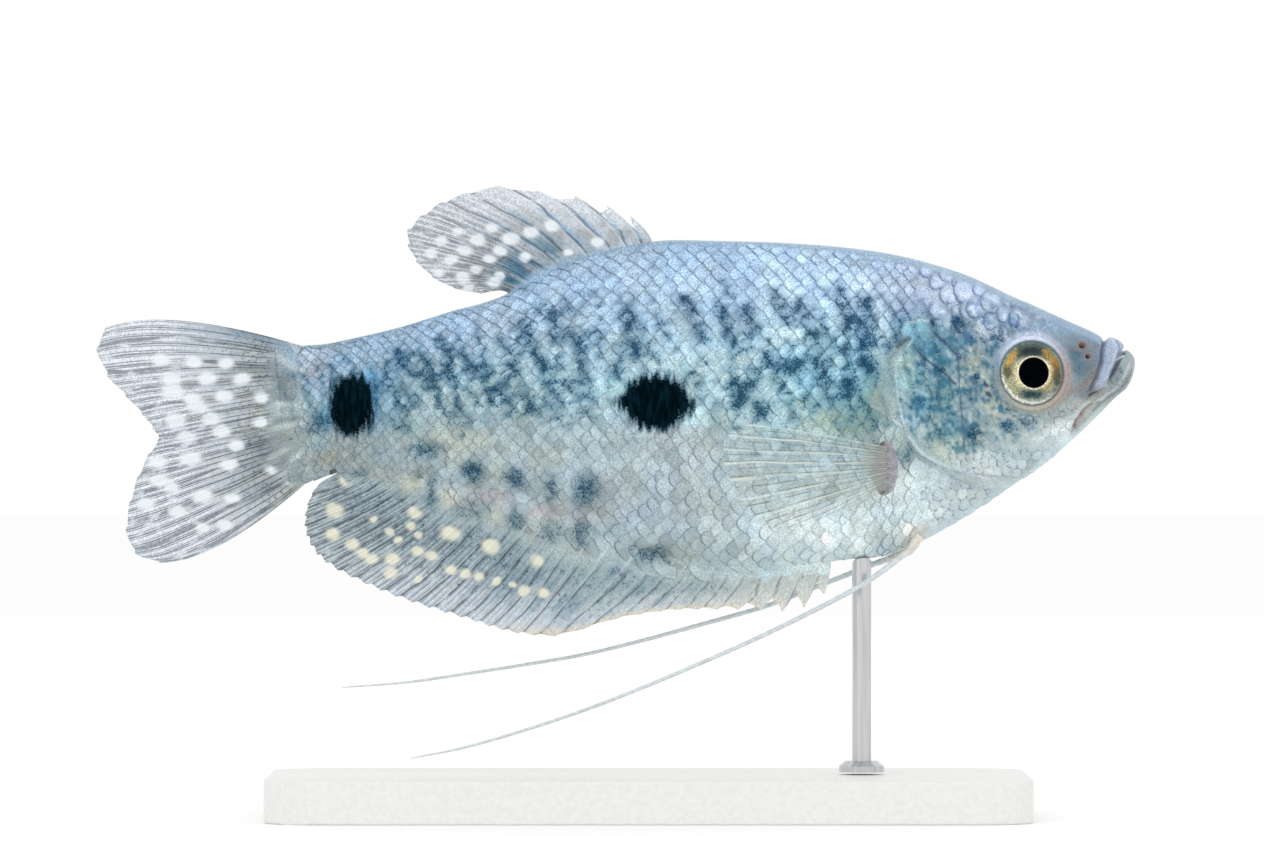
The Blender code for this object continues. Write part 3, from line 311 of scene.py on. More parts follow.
# Grainy dark patches: x, z, half width, half height, strength.
PATCHES = [
    (-34.0, 45.8, 1.3, 1.5, 0.85), (-35.2, 44.9, 1.2, 0.9, 0.6), (-35.3, 50.2, 0.8, 0.9, 0.5),
    (-37.4, 51.3, 1.0, 0.9, 0.5), (-37.3, 43.6, 1.2, 0.9, 0.4), (-26.6, 50.0, 0.7, 2.0, 0.6),
    (-26.0, 46.4, 0.8, 1.4, 0.5), (-27.4, 42.4, 0.7, 1.0, 0.4), (-21.8, 42.7, 1.6, 1.2, 0.8),
    (-24.0, 45.2, 0.9, 0.9, 0.7), (-16.2, 40.1, 1.2, 1.4, 0.95), (-11.4, 39.4, 1.2, 1.3, 0.9),
    (-7.3, 38.1, 0.8, 2.1, 0.75), (-3.2, 37.8, 1.6, 1.9, 0.9), (-21.1, 37.4, 0.7, 2.3, 0.7),
    (-29.4, 40.0, 0.8, 0.8, 0.6), (-24.8, 37.0, 1.2, 1.0, 0.5), (-16.8, 35.6, 2.7, 1.2, 0.5),
    (-11.3, 34.5, 1.1, 1.2, 0.75), (-7.5, 33.1, 1.9, 1.4, 0.65), (-3.8, 32.8, 1.2, 1.8, 0.7),
    (4.3, 30.4, 2.7, 1.3, 0.7), (0.2, 28.2, 2.2, 1.3, 0.5), (11.8, 47.2, 0.9, 2.0, 0.5),
    (17.6, 47.2, 0.8, 1.1, 0.8), (12.0, 43.6, 0.8, 1.0, 0.35), (29.4, 51.9, 0.9, 1.7, 0.8),
    (30.2, 47.4, 1.0, 1.6, 0.5), (27.4, 47.6, 0.9, 1.4, 0.5), (33.6, 41.9, 0.8, 1.3, 0.7),
    (32.9, 59.5, 1.0, 0.8, 0.55), (32.7, 57.1, 0.7, 1.3, 0.85), (32.1, 54.5, 0.9, 0.6, 0.6),
    (39.5, 56.9, 0.9, 1.2, 0.95), (39.9, 58.2, 0.3, 1.0, 0.7), (43.5, 59.1, 1.1, 0.8, 0.5),
    (44.4, 55.6, 0.9, 1.2, 0.7), (42.7, 55.0, 0.6, 0.5, 0.85), (44.6, 56.8, 0.8, 0.5, 0.5),
    (41.5, 50.8, 0.7, 0.8, 0.95), (35.3, 52.5, 0.8, 0.7, 0.75), (35.8, 50.4, 0.6, 1.5, 0.6),
    (37.6, 51.9, 0.8, 0.6, 0.85), (36.9, 53.1, 0.7, 0.5, 0.5), (35.1, 48.1, 1.5, 1.2, 0.5),
    (36.6, 46.4, 1.2, 1.6, 0.5), (37.6, 44.4, 1.3, 1.0, 0.45), (41.4, 44.4, 0.8, 0.9, 0.95),
    (43.9, 51.9, 0.5, 1.2, 0.5), (45.7, 47.9, 1.2, 1.4, 0.55), (45.4, 45.5, 1.1, 0.8, 0.75),
    (47.7, 45.7, 1.3, 0.8, 0.6), (53.8, 52.4, 1.2, 1.2, 0.35), (58.4, 50.6, 1.2, 1.8, 0.4),
    (34.2, 56.0, 0.6, 0.4, 0.4), (36.4, 49.4, 2.6, 3.6, 0.42), (38.2, 47.0, 1.8, 3.4, 0.34),
    (43.4, 47.0, 3.2, 3.0, 0.3), (46.8, 46.4, 2.6, 1.4, 0.36), (53.6, 53.6, 2.2, 2.6, 0.3),
    (38.6, 56.6, 3.0, 1.6, 0.34), (43.6, 53.6, 2.2, 2.6, 0.3), (31.2, 49.6, 1.6, 3.6, 0.42),
    (58.2, 50.6, 1.6, 2.6, 0.42), (33.4, 58.6, 1.6, 1.0, 0.4), (50.6, 57.4, 4.0, 1.4, 0.22),
    (16.1, 42.2, 0.6, 0.6, 0.7), (19.7, 43.0, 0.7, 0.6, 0.6), (18.4, 39.7, 0.5, 0.6, 0.6),
    (14.4, 39.2, 0.5, 0.5, 0.6), (22.4, 38.4, 0.6, 0.5, 0.5), (24.6, 42.4, 0.7, 0.8, 0.5),
]
MARK_REACH = 1.15  # how far patches reach, in their own half widths
STREAK_REACH = 1.8  # how far streaks reach, in their own half widths
# How strong the mottling between the marks is, by height and along x.
MOTTLE_HEIGHT = [(0.18, 0.0), (0.36, 0.45), (0.5, 0.95), (0.8, 0.95), (0.93, 0.2), (1.0, 0.0)]
MOTTLE_ALONG = [
    (-38.0, 0.4), (-33.0, 0.7), (-28.0, 0.85), (-25.0, 0.95), (-8.0, 0.9), (4.0, 0.6),
    (10.0, 0.45), (18.0, 0.45), (22.0, 0.72), (31.0, 0.82), (34.0, 0.5), (45.0, 0.45), (52.0, 0.0),
]
STREAK_LEAN = math.radians(18)
STREAK_STEP = 2.1  # how far apart the mottling's streaks are

# Lines of the head in the side view.
PREOPERCLE = [(39.7, 53.2), (40.0, 49.5), (40.1, 46.5), (40.4, 42.9)]
CREASE_UPPER = [(36.8, 56.1), (38.2, 54.6), (39.6, 53.2)]
CREASE_LOWER = [(34.4, 54.6), (36.6, 52.8), (38.0, 51.6), (39.3, 50.2)]
GULAR_FOLD = [(55.9, 48.1), (54.7, 47.4), (53.9, 46.5), (53.2, 45.3)]
NOSE_GROOVE = [(52.2, 54.4), (53.1, 54.2), (54.0, 54.6), (54.9, 54.2), (56.1, 54.6)]
LIP_REAR = [(57.2, 58.0), (56.8, 55.4), (56.5, 54.2), (56.3, 52.8), (55.8, 51.1), (55.1, 49.6)]
MOUTH_LINE = [
    (55.1, 48.9), (55.9, 49.3), (57.2, 50.7), (57.7, 51.8), (58.1, 52.8), (58.7, 53.9), (61.0, 56.0),
]
# Lines pressed into the skin: points, depth, half width.
GROOVES = [
    (PREOPERCLE, 0.08, 0.16),
    (CREASE_UPPER, 0.1, 0.16),
    (CREASE_LOWER, 0.1, 0.16),
    (GULAR_FOLD, 0.3, 0.35),
    (NOSE_GROOVE, 0.14, 0.22),
    (LIP_REAR, 0.34, 0.24),
    (MOUTH_LINE, 0.6, 0.22),
]
# Fine coloured lines of the head: colour, strength, half width and points. Among them are painted shade in
# its grooves and the mouth, and painted highlights along the gill flap and the upper lip.
FINE_LINES = [
    # The next five lines are painted shade in the grooves of the preopercle and of the gill cover's creases.
    ((70, 94, 118), 0.9, 0.1, [(39.6, 53.3), (39.7, 51.3), (39.9, 48.4), (40.4, 42.9)]),
    ((36, 54, 84), 0.85, 0.11, [(37.0, 56.0), (37.6, 55.4), (38.3, 54.8)]),
    ((58, 78, 110), 0.85, 0.11, [(38.2, 54.9), (39.0, 54.0), (39.6, 53.3)]),
    ((50, 74, 106), 0.85, 0.12, [(34.4, 54.8), (34.9, 54.1), (35.8, 53.1)]),
    ((34, 56, 82), 0.85, 0.1, [(35.8, 53.1), (37.6, 51.8), (38.5, 51.0), (39.3, 50.2)]),
    ((170, 214, 226), 0.8, 0.13, [(32.9, 50.6), (34.0, 49.5), (35.4, 49.3), (36.0, 48.8)]),
    ((70, 112, 136), 0.65, 0.12, [(36.2, 50.0), (36.6, 48.6), (36.2, 47.2)]),
    ((120, 88, 84), 0.6, 0.14, GULAR_FOLD),
    ((156, 126, 128), 0.55, 0.14, NOSE_GROOVE),
    # Painted shade behind the raised upper lip, and in the slit of the mouth.
    ((84, 92, 112), 0.85, 0.15, LIP_REAR),
    (
        (74, 72, 80), 0.8, 0.1,
        [(55.1, 48.9), (55.9, 49.3), (57.2, 50.7), (57.9, 51.9), (58.3, 52.8), (58.9, 53.8)],
    ),
    ((236, 240, 246), 0.9, 0.09, [(58.7, 53.4), (57.8, 52.7), (57.3, 51.2), (56.9, 50.2), (55.9, 49.4)]),
    ((150, 122, 112), 0.45, 0.24, [(52.0, 49.3), (53.4, 49.8), (55.0, 50.6), (55.6, 51.8)]),
    ((28, 40, 60), 0.85, 0.16, [(42.7, 50.4), (42.9, 50.0)]),
    ((28, 40, 60), 0.85, 0.17, [(43.0, 49.2), (43.3, 48.9)]),
    ((40, 56, 76), 0.6, 0.09, [(46.5, 46.2), (47.3, 45.6)]),
    ((40, 56, 76), 0.6, 0.09, [(47.6, 47.0), (48.3, 46.4)]),
    ((40, 60, 84), 0.6, 0.1, [(46.4, 56.6), (46.6, 57.9)]),
    ((214, 222, 224), 0.6, 0.12, [(59.4, 52.6), (58.6, 50.8), (57.2, 49.3), (55.6, 47.9)]),
    ((96, 104, 108), 0.5, 0.1, [(59.6, 52.0), (58.9, 50.4), (57.4, 48.9), (55.4, 47.2)]),
    # A painted highlight down the upper lip.
    ((206, 216, 236), 0.55, 0.14, [(57.6, 55.3), (57.9, 54.0), (57.4, 52.4), (56.6, 50.9)]),
    ((110, 124, 144), 0.5, 0.1, [(58.1, 55.0), (58.3, 54.0), (57.9, 52.9), (57.0, 51.3)]),
    ((26, 42, 62), 0.95, 0.2, [(36.6, 57.4), (36.7, 57.0)]),
    ((52, 66, 76), 0.8, 0.24, [(32.6, 54.5), (33.3, 55.0), (33.9, 55.3)]),
    # Painted highlights along the gill flap's edge.
    ((206, 232, 240), 0.6, 0.12, [(33.3, 57.1), (34.3, 57.4), (36.4, 57.5)]),
    ((206, 228, 238), 0.55, 0.11, [(34.2, 55.0), (33.2, 53.5), (32.4, 52.0), (32.5, 50.2), (32.8, 47.8)]),
    # Pale lines along the gill cover's lower edge: partly its pale rim, partly a painted highlight.
    ((226, 238, 240), 0.6, 0.1, [(29.5, 47.8), (31.3, 46.6), (33.1, 45.4)]),
    ((228, 238, 240), 0.5, 0.14, [(33.8, 44.4), (35.2, 42.4), (37.4, 41.1), (40.4, 40.1), (43.2, 39.4)]),
]
# The gill flap's hard rear edge, from its top down, and the soft skin's edge past it.
FLAP_EDGE = [
    (40.0, 58.3), (36.8, 57.7), (35.2, 57.6), (33.7, 57.3), (33.1, 56.4), (33.5, 55.5), (34.0, 55.0),
    (33.1, 53.7), (32.3, 52.2), (32.5, 50.7), (32.7, 48.6), (33.0, 46.6), (33.8, 44.6), (35.0, 42.6),
    (37.0, 41.3), (39.6, 40.4), (43.0, 39.9),
]
SOFT_EDGE = [
    (40.0, 58.2), (36.8, 57.6), (35.2, 57.5), (33.7, 57.2), (33.0, 56.4), (33.2, 55.5), (32.6, 54.8),
    (31.5, 53.7), (30.7, 51.6), (30.0, 49.3), (29.4, 47.9), (30.8, 47.1), (32.3, 45.9), (33.4, 44.7),
    (34.2, 43.0), (35.4, 41.6), (37.3, 40.5), (39.5, 39.4), (41.5, 38.6), (43.6, 38.5), (45.6, 39.3),
]
FLAP_PROUD = 0.42  # how far the flap's edge stands out, and the soft skin's
SOFT_PROUD = 0.2
FLAP_FADE = 5.0  # how far ahead of the edges they level out
# Nostrils: x, z, radius.
NOSTRILS = [(54.1, 54.7, 0.34), (54.7, 53.4, 0.26)]
PECTORAL_LOBE = (31.2, 40.5, 1.45, 2.9)  # x, z, half width, half height
# The head's rounded scales: width of a cell, then the middle, half width and half height of where they lie.
COBBLES = [
    (2.1, 41.8, 60.2, 5.4, 3.0),
    (1.7, 43.4, 55.6, 3.4, 2.0),
    (1.25, 50.2, 46.2, 4.4, 2.2),
    (1.1, 45.5, 41.2, 8.0, 1.8),
    (1.3, 39.0, 36.4, 7.0, 2.6),
]
# The nape's rounded scales from the rear forward: x, z, radius.
NAPE_SCALES = [
    (35.2, 58.5, 1.05), (35.3, 60.8, 1.1), (36.2, 63.4, 0.95), (37.3, 61.9, 0.95), (37.4, 58.6, 1.05),
    (38.4, 62.7, 0.85), (38.5, 60.4, 1.1), (39.6, 58.4, 0.9), (40.4, 60.8, 1.3), (41.6, 58.7, 1.1),
    (42.2, 61.0, 0.85), (43.5, 57.4, 1.05), (43.6, 59.5, 1.35), (44.9, 58.1, 0.95), (46.3, 57.6, 0.9),
]
NAPE_LINE = [(33.0, 57.6), (36.4, 57.9), (40.0, 57.6)]  # scales lie over the skin above it
NOISE_CELLS = 97  # noise repeats after so many cells
COBBLE_CELLS = 61  # rounded scales repeat after so many

EYE_PLACE = (48.15, 51.45)
EYE_RADIUS = 3.76
EYE_BULGE = 1.35
EYE_DEPTH = 1.3  # how far the eyeball reaches inward
EYE_FORWARD = math.radians(11)
EYE_UP = math.radians(3)
PUPIL_RADIUS = 1.8
EYE_SIDES, EYE_RINGS = 96, 44
RIM_RADIUS = 3.96  # the soft ring round the eye
# The iris: colour, angle, half angle, radius, half width, strength. Angles are 0 ahead and 90 at the top.
IRIS = [
    ((164, 162, 124), 205, 60, 2.9, 0.9, 0.75),
    ((150, 160, 150), 310, 60, 2.9, 0.8, 0.5),
    ((100, 130, 136), 85, 80, 3.5, 0.3, 0.85),
    ((10, 32, 38), 90, 46, 2.55, 0.85, 0.95),
    ((110, 96, 60), 75, 60, 3.1, 0.2, 0.4),
    ((188, 146, 56), 143, 22, 3.0, 0.42, 0.95),
    ((70, 66, 44), 172, 14, 3.0, 0.5, 0.75),
    ((172, 134, 56), 38, 24, 2.9, 0.5, 0.92),
    ((128, 98, 50), 8, 20, 2.8, 0.6, 0.9),
    ((62, 62, 44), 346, 22, 3.0, 0.55, 0.85),
    ((16, 46, 52), 270, 32, 2.45, 0.5, 0.95),
    ((142, 124, 76), 315, 20, 2.4, 0.5, 0.6),
    ((220, 204, 150), 185, 60, 2.1, 0.22, 0.8),
    ((226, 196, 136), 0, 62, 2.08, 0.22, 0.8),
    ((228, 236, 232), 240, 70, 3.45, 0.14, 0.9),
]
# The skin round the eye, by angle. It is darker behind the eye, at 180, as painted shade.
RIM_GROUND = [
    (0, 168, 152, 148), (45, 182, 186, 200), (90, 208, 216, 236), (135, 182, 198, 218),
    (180, 118, 140, 150), (225, 150, 160, 158), (270, 172, 172, 160), (315, 168, 158, 148),
    (360, 168, 152, 148),
]

# Whitish spots on the fins: half width, then the spots' x and z.
TAIL_SPOTS = [
    (1.35, [(-52.5, 53.0), (-51.3, 50.8), (-51.1, 49.4), (-50.8, 46.0), (-49.5, 44.1), (-49.0, 41.6)]),
    (1.25, [(-47.1, 50.8), (-48.9, 48.5), (-48.3, 47.7), (-45.4, 44.8), (-52.9, 41.2), (-52.7, 39.1)]),
    (1.05, [(-48.6, 52.8), (-43.1, 50.8), (-45.1, 48.7), (-46.7, 46.2), (-43.7, 43.1), (-44.6, 40.9)]),
    (1.15, [(-40.5, 48.7), (-40.8, 45.8), (-51.3, 38.2), (-47.6, 37.2), (-54.2, 36.3), (-50.6, 35.5)]),
    (0.95, [(-44.9, 52.6), (-39.5, 40.3), (-44.2, 37.0), (-37.4, 38.9), (-47.6, 33.6), (-45.1, 33.9)]),
]
DORSAL_SPOTS = [
    (1.0, [(-7.2, 68.5), (-9.6, 67.8), (-11.9, 67.1), (-15.8, 66.9), (-13.2, 65.7), (-17.3, 65.7)]),
    (0.75, [(-14.1, 68.3), (-18.1, 67.9), (-20.0, 66.8), (-5.3, 65.4), (-10.3, 64.9), (-14.4, 64.7)]),
    (0.85, [(-21.2, 65.4), (-18.9, 64.6), (-17.5, 62.6), (-13.9, 62.0), (-1.9, 66.7)]),
    (0.7, [(-20.3, 63.1), (-16.0, 63.5), (-13.2, 62.8), (-16.8, 61.4)]),
]
ANAL_SPOTS = [
    (1.15, [(-30.9, 39.1), (-32.3, 35.6), (-18.9, 33.1), (-14.2, 31.5), (-8.8, 29.9)]),
    (0.9, [(-32.6, 32.8), (-5.1, 29.9), (-30.3, 31.6), (-25.7, 30.0), (-25.8, 28.4), (-23.0, 35.4)]),
    (0.75, [(-29.0, 30.6), (-22.7, 30.9), (-21.1, 30.3), (-10.4, 26.3), (-28.1, 30.0), (-1.2, 29.9)]),
    (0.65, [(-18.9, 28.7), (-17.2, 28.2), (-15.6, 27.9), (-13.6, 27.4), (-8.1, 26.0), (-23.5, 33.8)]),
    (0.5, [(-27.9, 34.5), (-26.0, 33.1), (-25.0, 32.2), (-22.7, 32.8), (-22.7, 27.6), (-11.7, 27.0)]),
]

# The skin's rings lie BODY_STEP apart, and HEAD_STEP apart in the head.
BODY_STEP, HEAD_STEP = 0.6, 0.16
SKIN_SIDE = 160  # steps of the skin down each side
COAT = 0.22  # how far the skin lies inside under the scales
FLESH = ("head", "gill_cover_right", "gill_cover_left", "trunk", "tail_stalk", "upper_lip", "lower_jaw")

# The scales lie in rows along the body, each row half a scale behind the next. Their pitch, by x.
SCALE_PITCH = [
    (-42.0, 1.1), (-30.0, 1.16), (-20.0, 1.45), (-10.0, 1.8), (0.0, 1.9), (23.0, 1.9), (31.0, 1.5),
    (50.0, 1.5),
]
SCALE_ROW = 1.2  # how far apart the rows are where the body is deepest
SCALE_ROWS = 40  # rows to each side of the middle one
ROW_START = 0.42  # where the middle row lies, as a share of the way down the side
SCALE_JITTER = 0.07  # how unevenly they lie, as a share of their spacing
SCALE_LENGTH = 1.5  # in pitches
SCALE_LIFT = 0.17  # how far a scale's tip stands off the skin
SCALE_THICK = 0.05
# Where a scale's points lie: shares of its length, and of its half width.
ALONG_SCALE = np.array([0.0, 0.45, 0.86, 1.0])
ACROSS_SCALE = np.array([-1.0, -0.62, -0.3, 0.0, 0.3, 0.62, 1.0])
SCALE_SPLIT = -2.0  # where the coat's two pieces of each side meet
COAT_FRONT, COAT_REAR = 50.0, -36.6  # the coat's ends along x
# How far below the belly's edge the scales run out over the anal fin: x, depth.
ANAL_SCALED = [
    (-31.0, 0.0), (-26.0, 0.4), (-20.0, 1.8), (-14.0, 3.2), (-8.0, 3.7),
    (-2.0, 2.3), (6.0, 1.0), (12.0, 0.2), (22.0, 0.0),
]
FIN_SKIN = 0.55  # how far to the side of the middle plane the skin runs there
# By height: how bright the scales' centres are, and how dark their rear edges.
BRIGHT_CENTRES = [(0, 0.08), (0.3, 0.05), (0.6, 0.09), (0.85, 0.24), (1, 0.22)]
MARGIN_HEIGHT = [(0, 0.7), (0.3, 0.8), (0.62, 0.45), (0.75, 0.55), (1, 0.7)]
SCALE_BAKE = 0.003  # width of a scale's patch of the bake map
BAKE_START, BAKE_LENGTH = -45.0, 106.0  # the bake map's first x, and its length along the body
BELLY_BAKE = 0.4  # how much of the bake map's height lies between the back and one side's belly

# The camera looks square at the fish's side: x and z of the picture's middle, its width, how far away.
VIEW_CENTRE = (2.1, 45.6)
VIEW_WIDTH = 146.4
VIEW_DISTANCE = 1200.0


def srgb(colour):
    """Linear values of a colour that is given as the eye sees it."""
    share = np.asarray(colour, float) / 255
    return np.where(share <= 0.04045, share / 12.92, ((share + 0.055) / 1.055) ** 2.4)


def solid(*colour):
    """A shader's colour from the eye's values."""
    return tuple(srgb(colour))


def ramp(value, low, high):
    """0 below low, 1 above high, and smooth between."""
    share = np.clip((value - low) / (high - low), 0, 1)
    return share * share * (3 - 2 * share)


def bell(gap, width):
    """1 where gap is 0, fading to about a third at width."""
    return np.exp(-((gap / width) ** 2))


def level(rows, at):
    """Straight steps through rows of a place and a value."""
    return np.interp(at, *zip(*rows))


def blended(paint, colour, share):
    """The paint, mixed towards one colour."""
    return paint + (np.array(colour, float) - paint) * share[:, None]


def through(rows, at):
    """A smooth curve through rows, by their first column. Returns the other columns at each place."""
    rows = np.asarray(rows, float)
    t, values = rows[:, 0], rows[:, 1:]
    at = np.clip(np.atleast_1d(np.asarray(at, float)), t[0], t[-1])
    steps = np.diff(t)[:, None]
    slopes = np.diff(values, axis=0) / steps
    tangents = np.empty_like(values)
    tangents[0], tangents[-1] = slopes[0], slopes[-1]
    tangents[1:-1] = (slopes[:-1] * steps[1:] + slopes[1:] * steps[:-1]) / (steps[1:] + steps[:-1])
    k = np.clip(np.searchsorted(t, at, side="right") - 1, 0, len(t) - 2)
    h = steps[k]
    u = ((at - t[k]) / h[:, 0])[:, None]
    a, b = values[k], values[k + 1]
    return (
        (2 * u**3 - 3 * u**2 + 1) * a
        + (u**3 - 2 * u**2 + u) * h * tangents[k]
        + (3 * u**2 - 2 * u**3) * b
        + (u**3 - u**2) * h * tangents[k + 1]
    )


def numbered(points):
    """Rows with their number in front."""
    return [(i, *p) for i, p in enumerate(points)]


def smooth_line(points, steps_each=4):
    """A smooth curve through points, as a finer row of points."""
    last = len(points) - 1
    return through(numbered(points), np.linspace(0, last, last * steps_each + 1))


def from_line(x, z, line):
    """Distance of points of the side view from a line, positive to its left, seen along it."""
    best = np.full(np.shape(x), np.inf)
    side = np.zeros(np.shape(x))
    for (ax, az), (bx, bz) in zip(line[:-1], line[1:]):
        dx, dz = bx - ax, bz - az
        length = math.hypot(dx, dz) + 1e-9
        share = np.clip(((x - ax) * dx + (z - az) * dz) / length**2, 0, 1)
        gap = np.hypot(x - ax - share * dx, z - az - share * dz)
        cross = (dx * (z - az) - dz * (x - ax)) / length
        nearer = gap < best - 1e-6
        tied = (np.abs(gap - best) <= 1e-6) & (np.abs(cross) > np.abs(side))
        side = np.where(nearer | tied, cross, side)
        best = np.where(nearer, gap, best)
    return best * np.where(side < 0, -1, 1)


def blob(x, z, place_x, place_z, half_width, half_height):
    """1 at the middle of a soft patch, fading to about a third at its edge."""
    return np.exp(-(((x - place_x) / half_width) ** 2) - ((z - place_z) / half_height) ** 2)


def waves(x, z, size, seed):
    """Smooth random values from -1 to 1, whose features are about size wide."""
    grid = np.random.default_rng(seed).uniform(-1, 1, (NOISE_CELLS, NOISE_CELLS))
    u, v = x / size + 300, z / size + 300
    i, j = np.floor(u).astype(int), np.floor(v).astype(int)
    a, b = ramp(u - i, 0, 1), ramp(v - j, 0, 1)
    i, j, next_i, next_j = (k % NOISE_CELLS for k in (i, j, i + 1, j + 1))
    near = grid[i, j] * (1 - b) + grid[i, next_j] * b
    far = grid[next_i, j] * (1 - b) + grid[next_i, next_j] * b
    return near * (1 - a) + far * a


def stirred(x, z, size, amount, seed):
    """The points moved about a little, so that what is drawn there gets uneven edges."""
    return x + amount * waves(x, z, size, seed), z + amount * waves(x, z, size, seed + 1)


def body_table():
    """The body's surface as rows along it and columns down its left side, at equal steps of the way down."""
    last = len(BODY_CHORDS) - 1
    chords = through(numbered(BODY_CHORDS), np.linspace(0, last, last * CHORD_STEPS + 1))
    back_x, back_z, belly_x, belly_z, half_width, keel = (chords[:, k : k + 1] for k in range(6))
    angles = np.linspace(math.pi / 2, -math.pi / 2, 4 * SIDE_STEPS + 1)[None]
    reach = np.where(angles > 0, 1 - WIDEST, 1 + WIDEST)
    along = (WIDEST + reach * np.sin(angles) + 1) / 2
    power = np.where(angles > 0, 1 + BACK_KEEL, 1 + keel)
    width = half_width * np.clip(np.cos(angles), 0, 1) ** power
    points = np.stack([belly_x + (back_x - belly_x) * along, width, belly_z + (back_z - belly_z) * along], -1)
    run = np.linalg.norm(np.diff(points, axis=1), axis=2)
    run = np.concatenate([np.zeros((len(run), 1)), np.cumsum(run, axis=1)], axis=1)
    shares = np.linspace(0, 1, SIDE_STEPS + 1)
    table = np.empty((len(points), SIDE_STEPS + 1, 3))
    for row, (line, way) in enumerate(zip(points, run)):
        for k in range(3):
            table[row, :, k] = np.interp(shares * way[-1], way, line[:, k])
    facing = np.cross(np.gradient(table, axis=0), np.gradient(table, axis=1))
    facing[:, (0, -1), 1] = 0
    facing /= np.linalg.norm(facing, axis=2)[:, :, None] + 1e-12
    return table, facing, run[:, -1], chords


TABLE, FACING, GIRTH, CHORDS = body_table()
LAST_CHORD = len(BODY_CHORDS) - 1
CHORD_PLACES = np.linspace(0, LAST_CHORD, len(CHORDS))
MIDDLES = (CHORDS[:, 0] + CHORDS[:, 2]) / 2
FLAP_LINE = smooth_line(FLAP_EDGE, 3)
SOFT_LINE = smooth_line(SOFT_EDGE, 3)
# The scales start behind this line, which runs on past both ends of the soft edge.
SOFT_REACH = smooth_line([(41.0, 59.5), *SOFT_EDGE, (46.4, 41.5), (47.5, 36.0)], 3)
SOFT_REACH = np.vstack([[(44.0, 75.0)], SOFT_REACH, [(48.0, 20.0)]])


def surface(station, share, side):
    """Points of the body's surface and which way it faces, at stations along the chords and shares of the way
    from the back down to the belly. A share past either end runs on over the other side."""
    station, share, side = np.broadcast_arrays(station, share, side)
    side = np.where((share < 0) | (share > 1), -side, side)
    share = np.abs(share)
    share = np.where(share > 1, 2 - share, share)
    row = np.clip(station * CHORD_STEPS, 0, len(TABLE) - 1.001)
    column = np.clip(share * SIDE_STEPS, 0, SIDE_STEPS - 0.001)
    i, j = row.astype(int), column.astype(int)
    u, v = (row - i)[..., None], (column - j)[..., None]
    found = []
    for table in (TABLE, FACING):
        near = table[i, j] * (1 - v) + table[i, j + 1] * v
        far = table[i + 1, j] * (1 - v) + table[i + 1, j + 1] * v
        value = near * (1 - u) + far * u
        value[..., 1] *= side
        found.append(value)
    found[1] /= np.linalg.norm(found[1], axis=-1)[..., None]
    return found


def locate(x, z):
    """Station and share of the surface's points at x and z of the side view."""
    x, z = np.broadcast_arrays(np.atleast_1d(x).astype(float), z)
    station, share = np.empty(len(x)), np.empty(len(x))
    for n, (px, pz) in enumerate(zip(x, z)):
        gap = np.hypot(TABLE[..., 0] - px, TABLE[..., 2] - pz)
        row, column = np.unravel_index(np.argmin(gap), gap.shape)
        station[n], share[n] = row / CHORD_STEPS, column / SIDE_STEPS
    for _ in range(4):
        here = surface(station, share, LEFT)[0]
        ahead = surface(station + 0.01, share, LEFT)[0] - here
        down = surface(station, share + 0.001, LEFT)[0] - here
        want_x, want_z = x - here[:, 0], z - here[:, 2]
        scale = ahead[:, 0] * down[:, 2] - ahead[:, 2] * down[:, 0]
        station = station + 0.01 * (want_x * down[:, 2] - want_z * down[:, 0]) / scale
        share = share + 0.001 * (ahead[:, 0] * want_z - ahead[:, 2] * want_x) / scale
    return station, share


def side_point(x, z, side):
    """One point of the side of the body, and which way it faces there."""
    station, share = locate(x, z)
    place, facing = surface(station, share, side)
    return place[0], facing[0]


def edge_z(x, edge):
    """Height at x of the edge BACK or BELLY of the body."""
    return np.interp(x, CHORDS[:, edge - 1], CHORDS[:, edge])


def body_height(x, z):
    """Share of the body's height, from 0 at the belly to 1 at the back."""
    top, bottom = edge_z(x, BACK), edge_z(x, BELLY)
    return np.clip((z - bottom) / np.maximum(top - bottom, 0.1), 0, 1)


def edge_strip(x, z):
    """1 in the smooth strip along the back's outline."""
    width = level([(-12.0, 0.2), (-4.0, 0.3), (24.0, 0.4), (36.0, 1.0)], x)
    return ramp(z - edge_z(x, BACK) + width, -0.15, 0.15)


def tail_taper(x):
    """How much thinner the body gets towards the tail fin."""
    return -0.55 * ramp(-x, 35.0, 38.8)


def from_eye(x, z):
    """Distance from the eye's middle in the side view."""
    return np.hypot(x - EYE_PLACE[0], z - EYE_PLACE[1])


def add_piece(name, points, faces, look, slot, replaces=(), **attributes):
    """A mesh piece from points in millimetres, with its own values at its points."""
    mesh = bpy.data.meshes.new(name)
    mesh.from_pydata((np.asarray(points, float) * MM).tolist(), [], [list(face) for face in faces])
    for key, values in attributes.items():
        values = np.asarray(values, np.float32)
        if values.ndim == 2:
            layer = mesh.attributes.new(key, "FLOAT_COLOR", "POINT")
            layer.data.foreach_set("color", np.column_stack([values, np.ones(len(values))]).ravel())
        else:
            layer = mesh.attributes.new(key, "FLOAT", "POINT")
            layer.data.foreach_set("value", values)
    mesh.materials.append(look)
    mesh.shade_smooth()
    mesh.set_sharp_from_angle(angle=math.radians(50))
    obj = bpy.data.objects.new(name, mesh)
    bpy.context.scene.collection.objects.link(obj)
    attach(obj, "root")
    if replaces:
        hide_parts(*replaces)
    return obj


def grid_faces(rows, columns, first=0, closed=False):
    """Quads of a grid of points, row by row. In a closed grid each row joins its own start."""
    start = first + columns * np.arange(rows - 1)[:, None]
    across = np.arange(columns if closed else columns - 1)[None]
    after = (across + 1) % columns
    quads = [start + across, start + after, start + after + columns, start + across + columns]
    return np.stack(quads, -1).reshape(-1, 4)


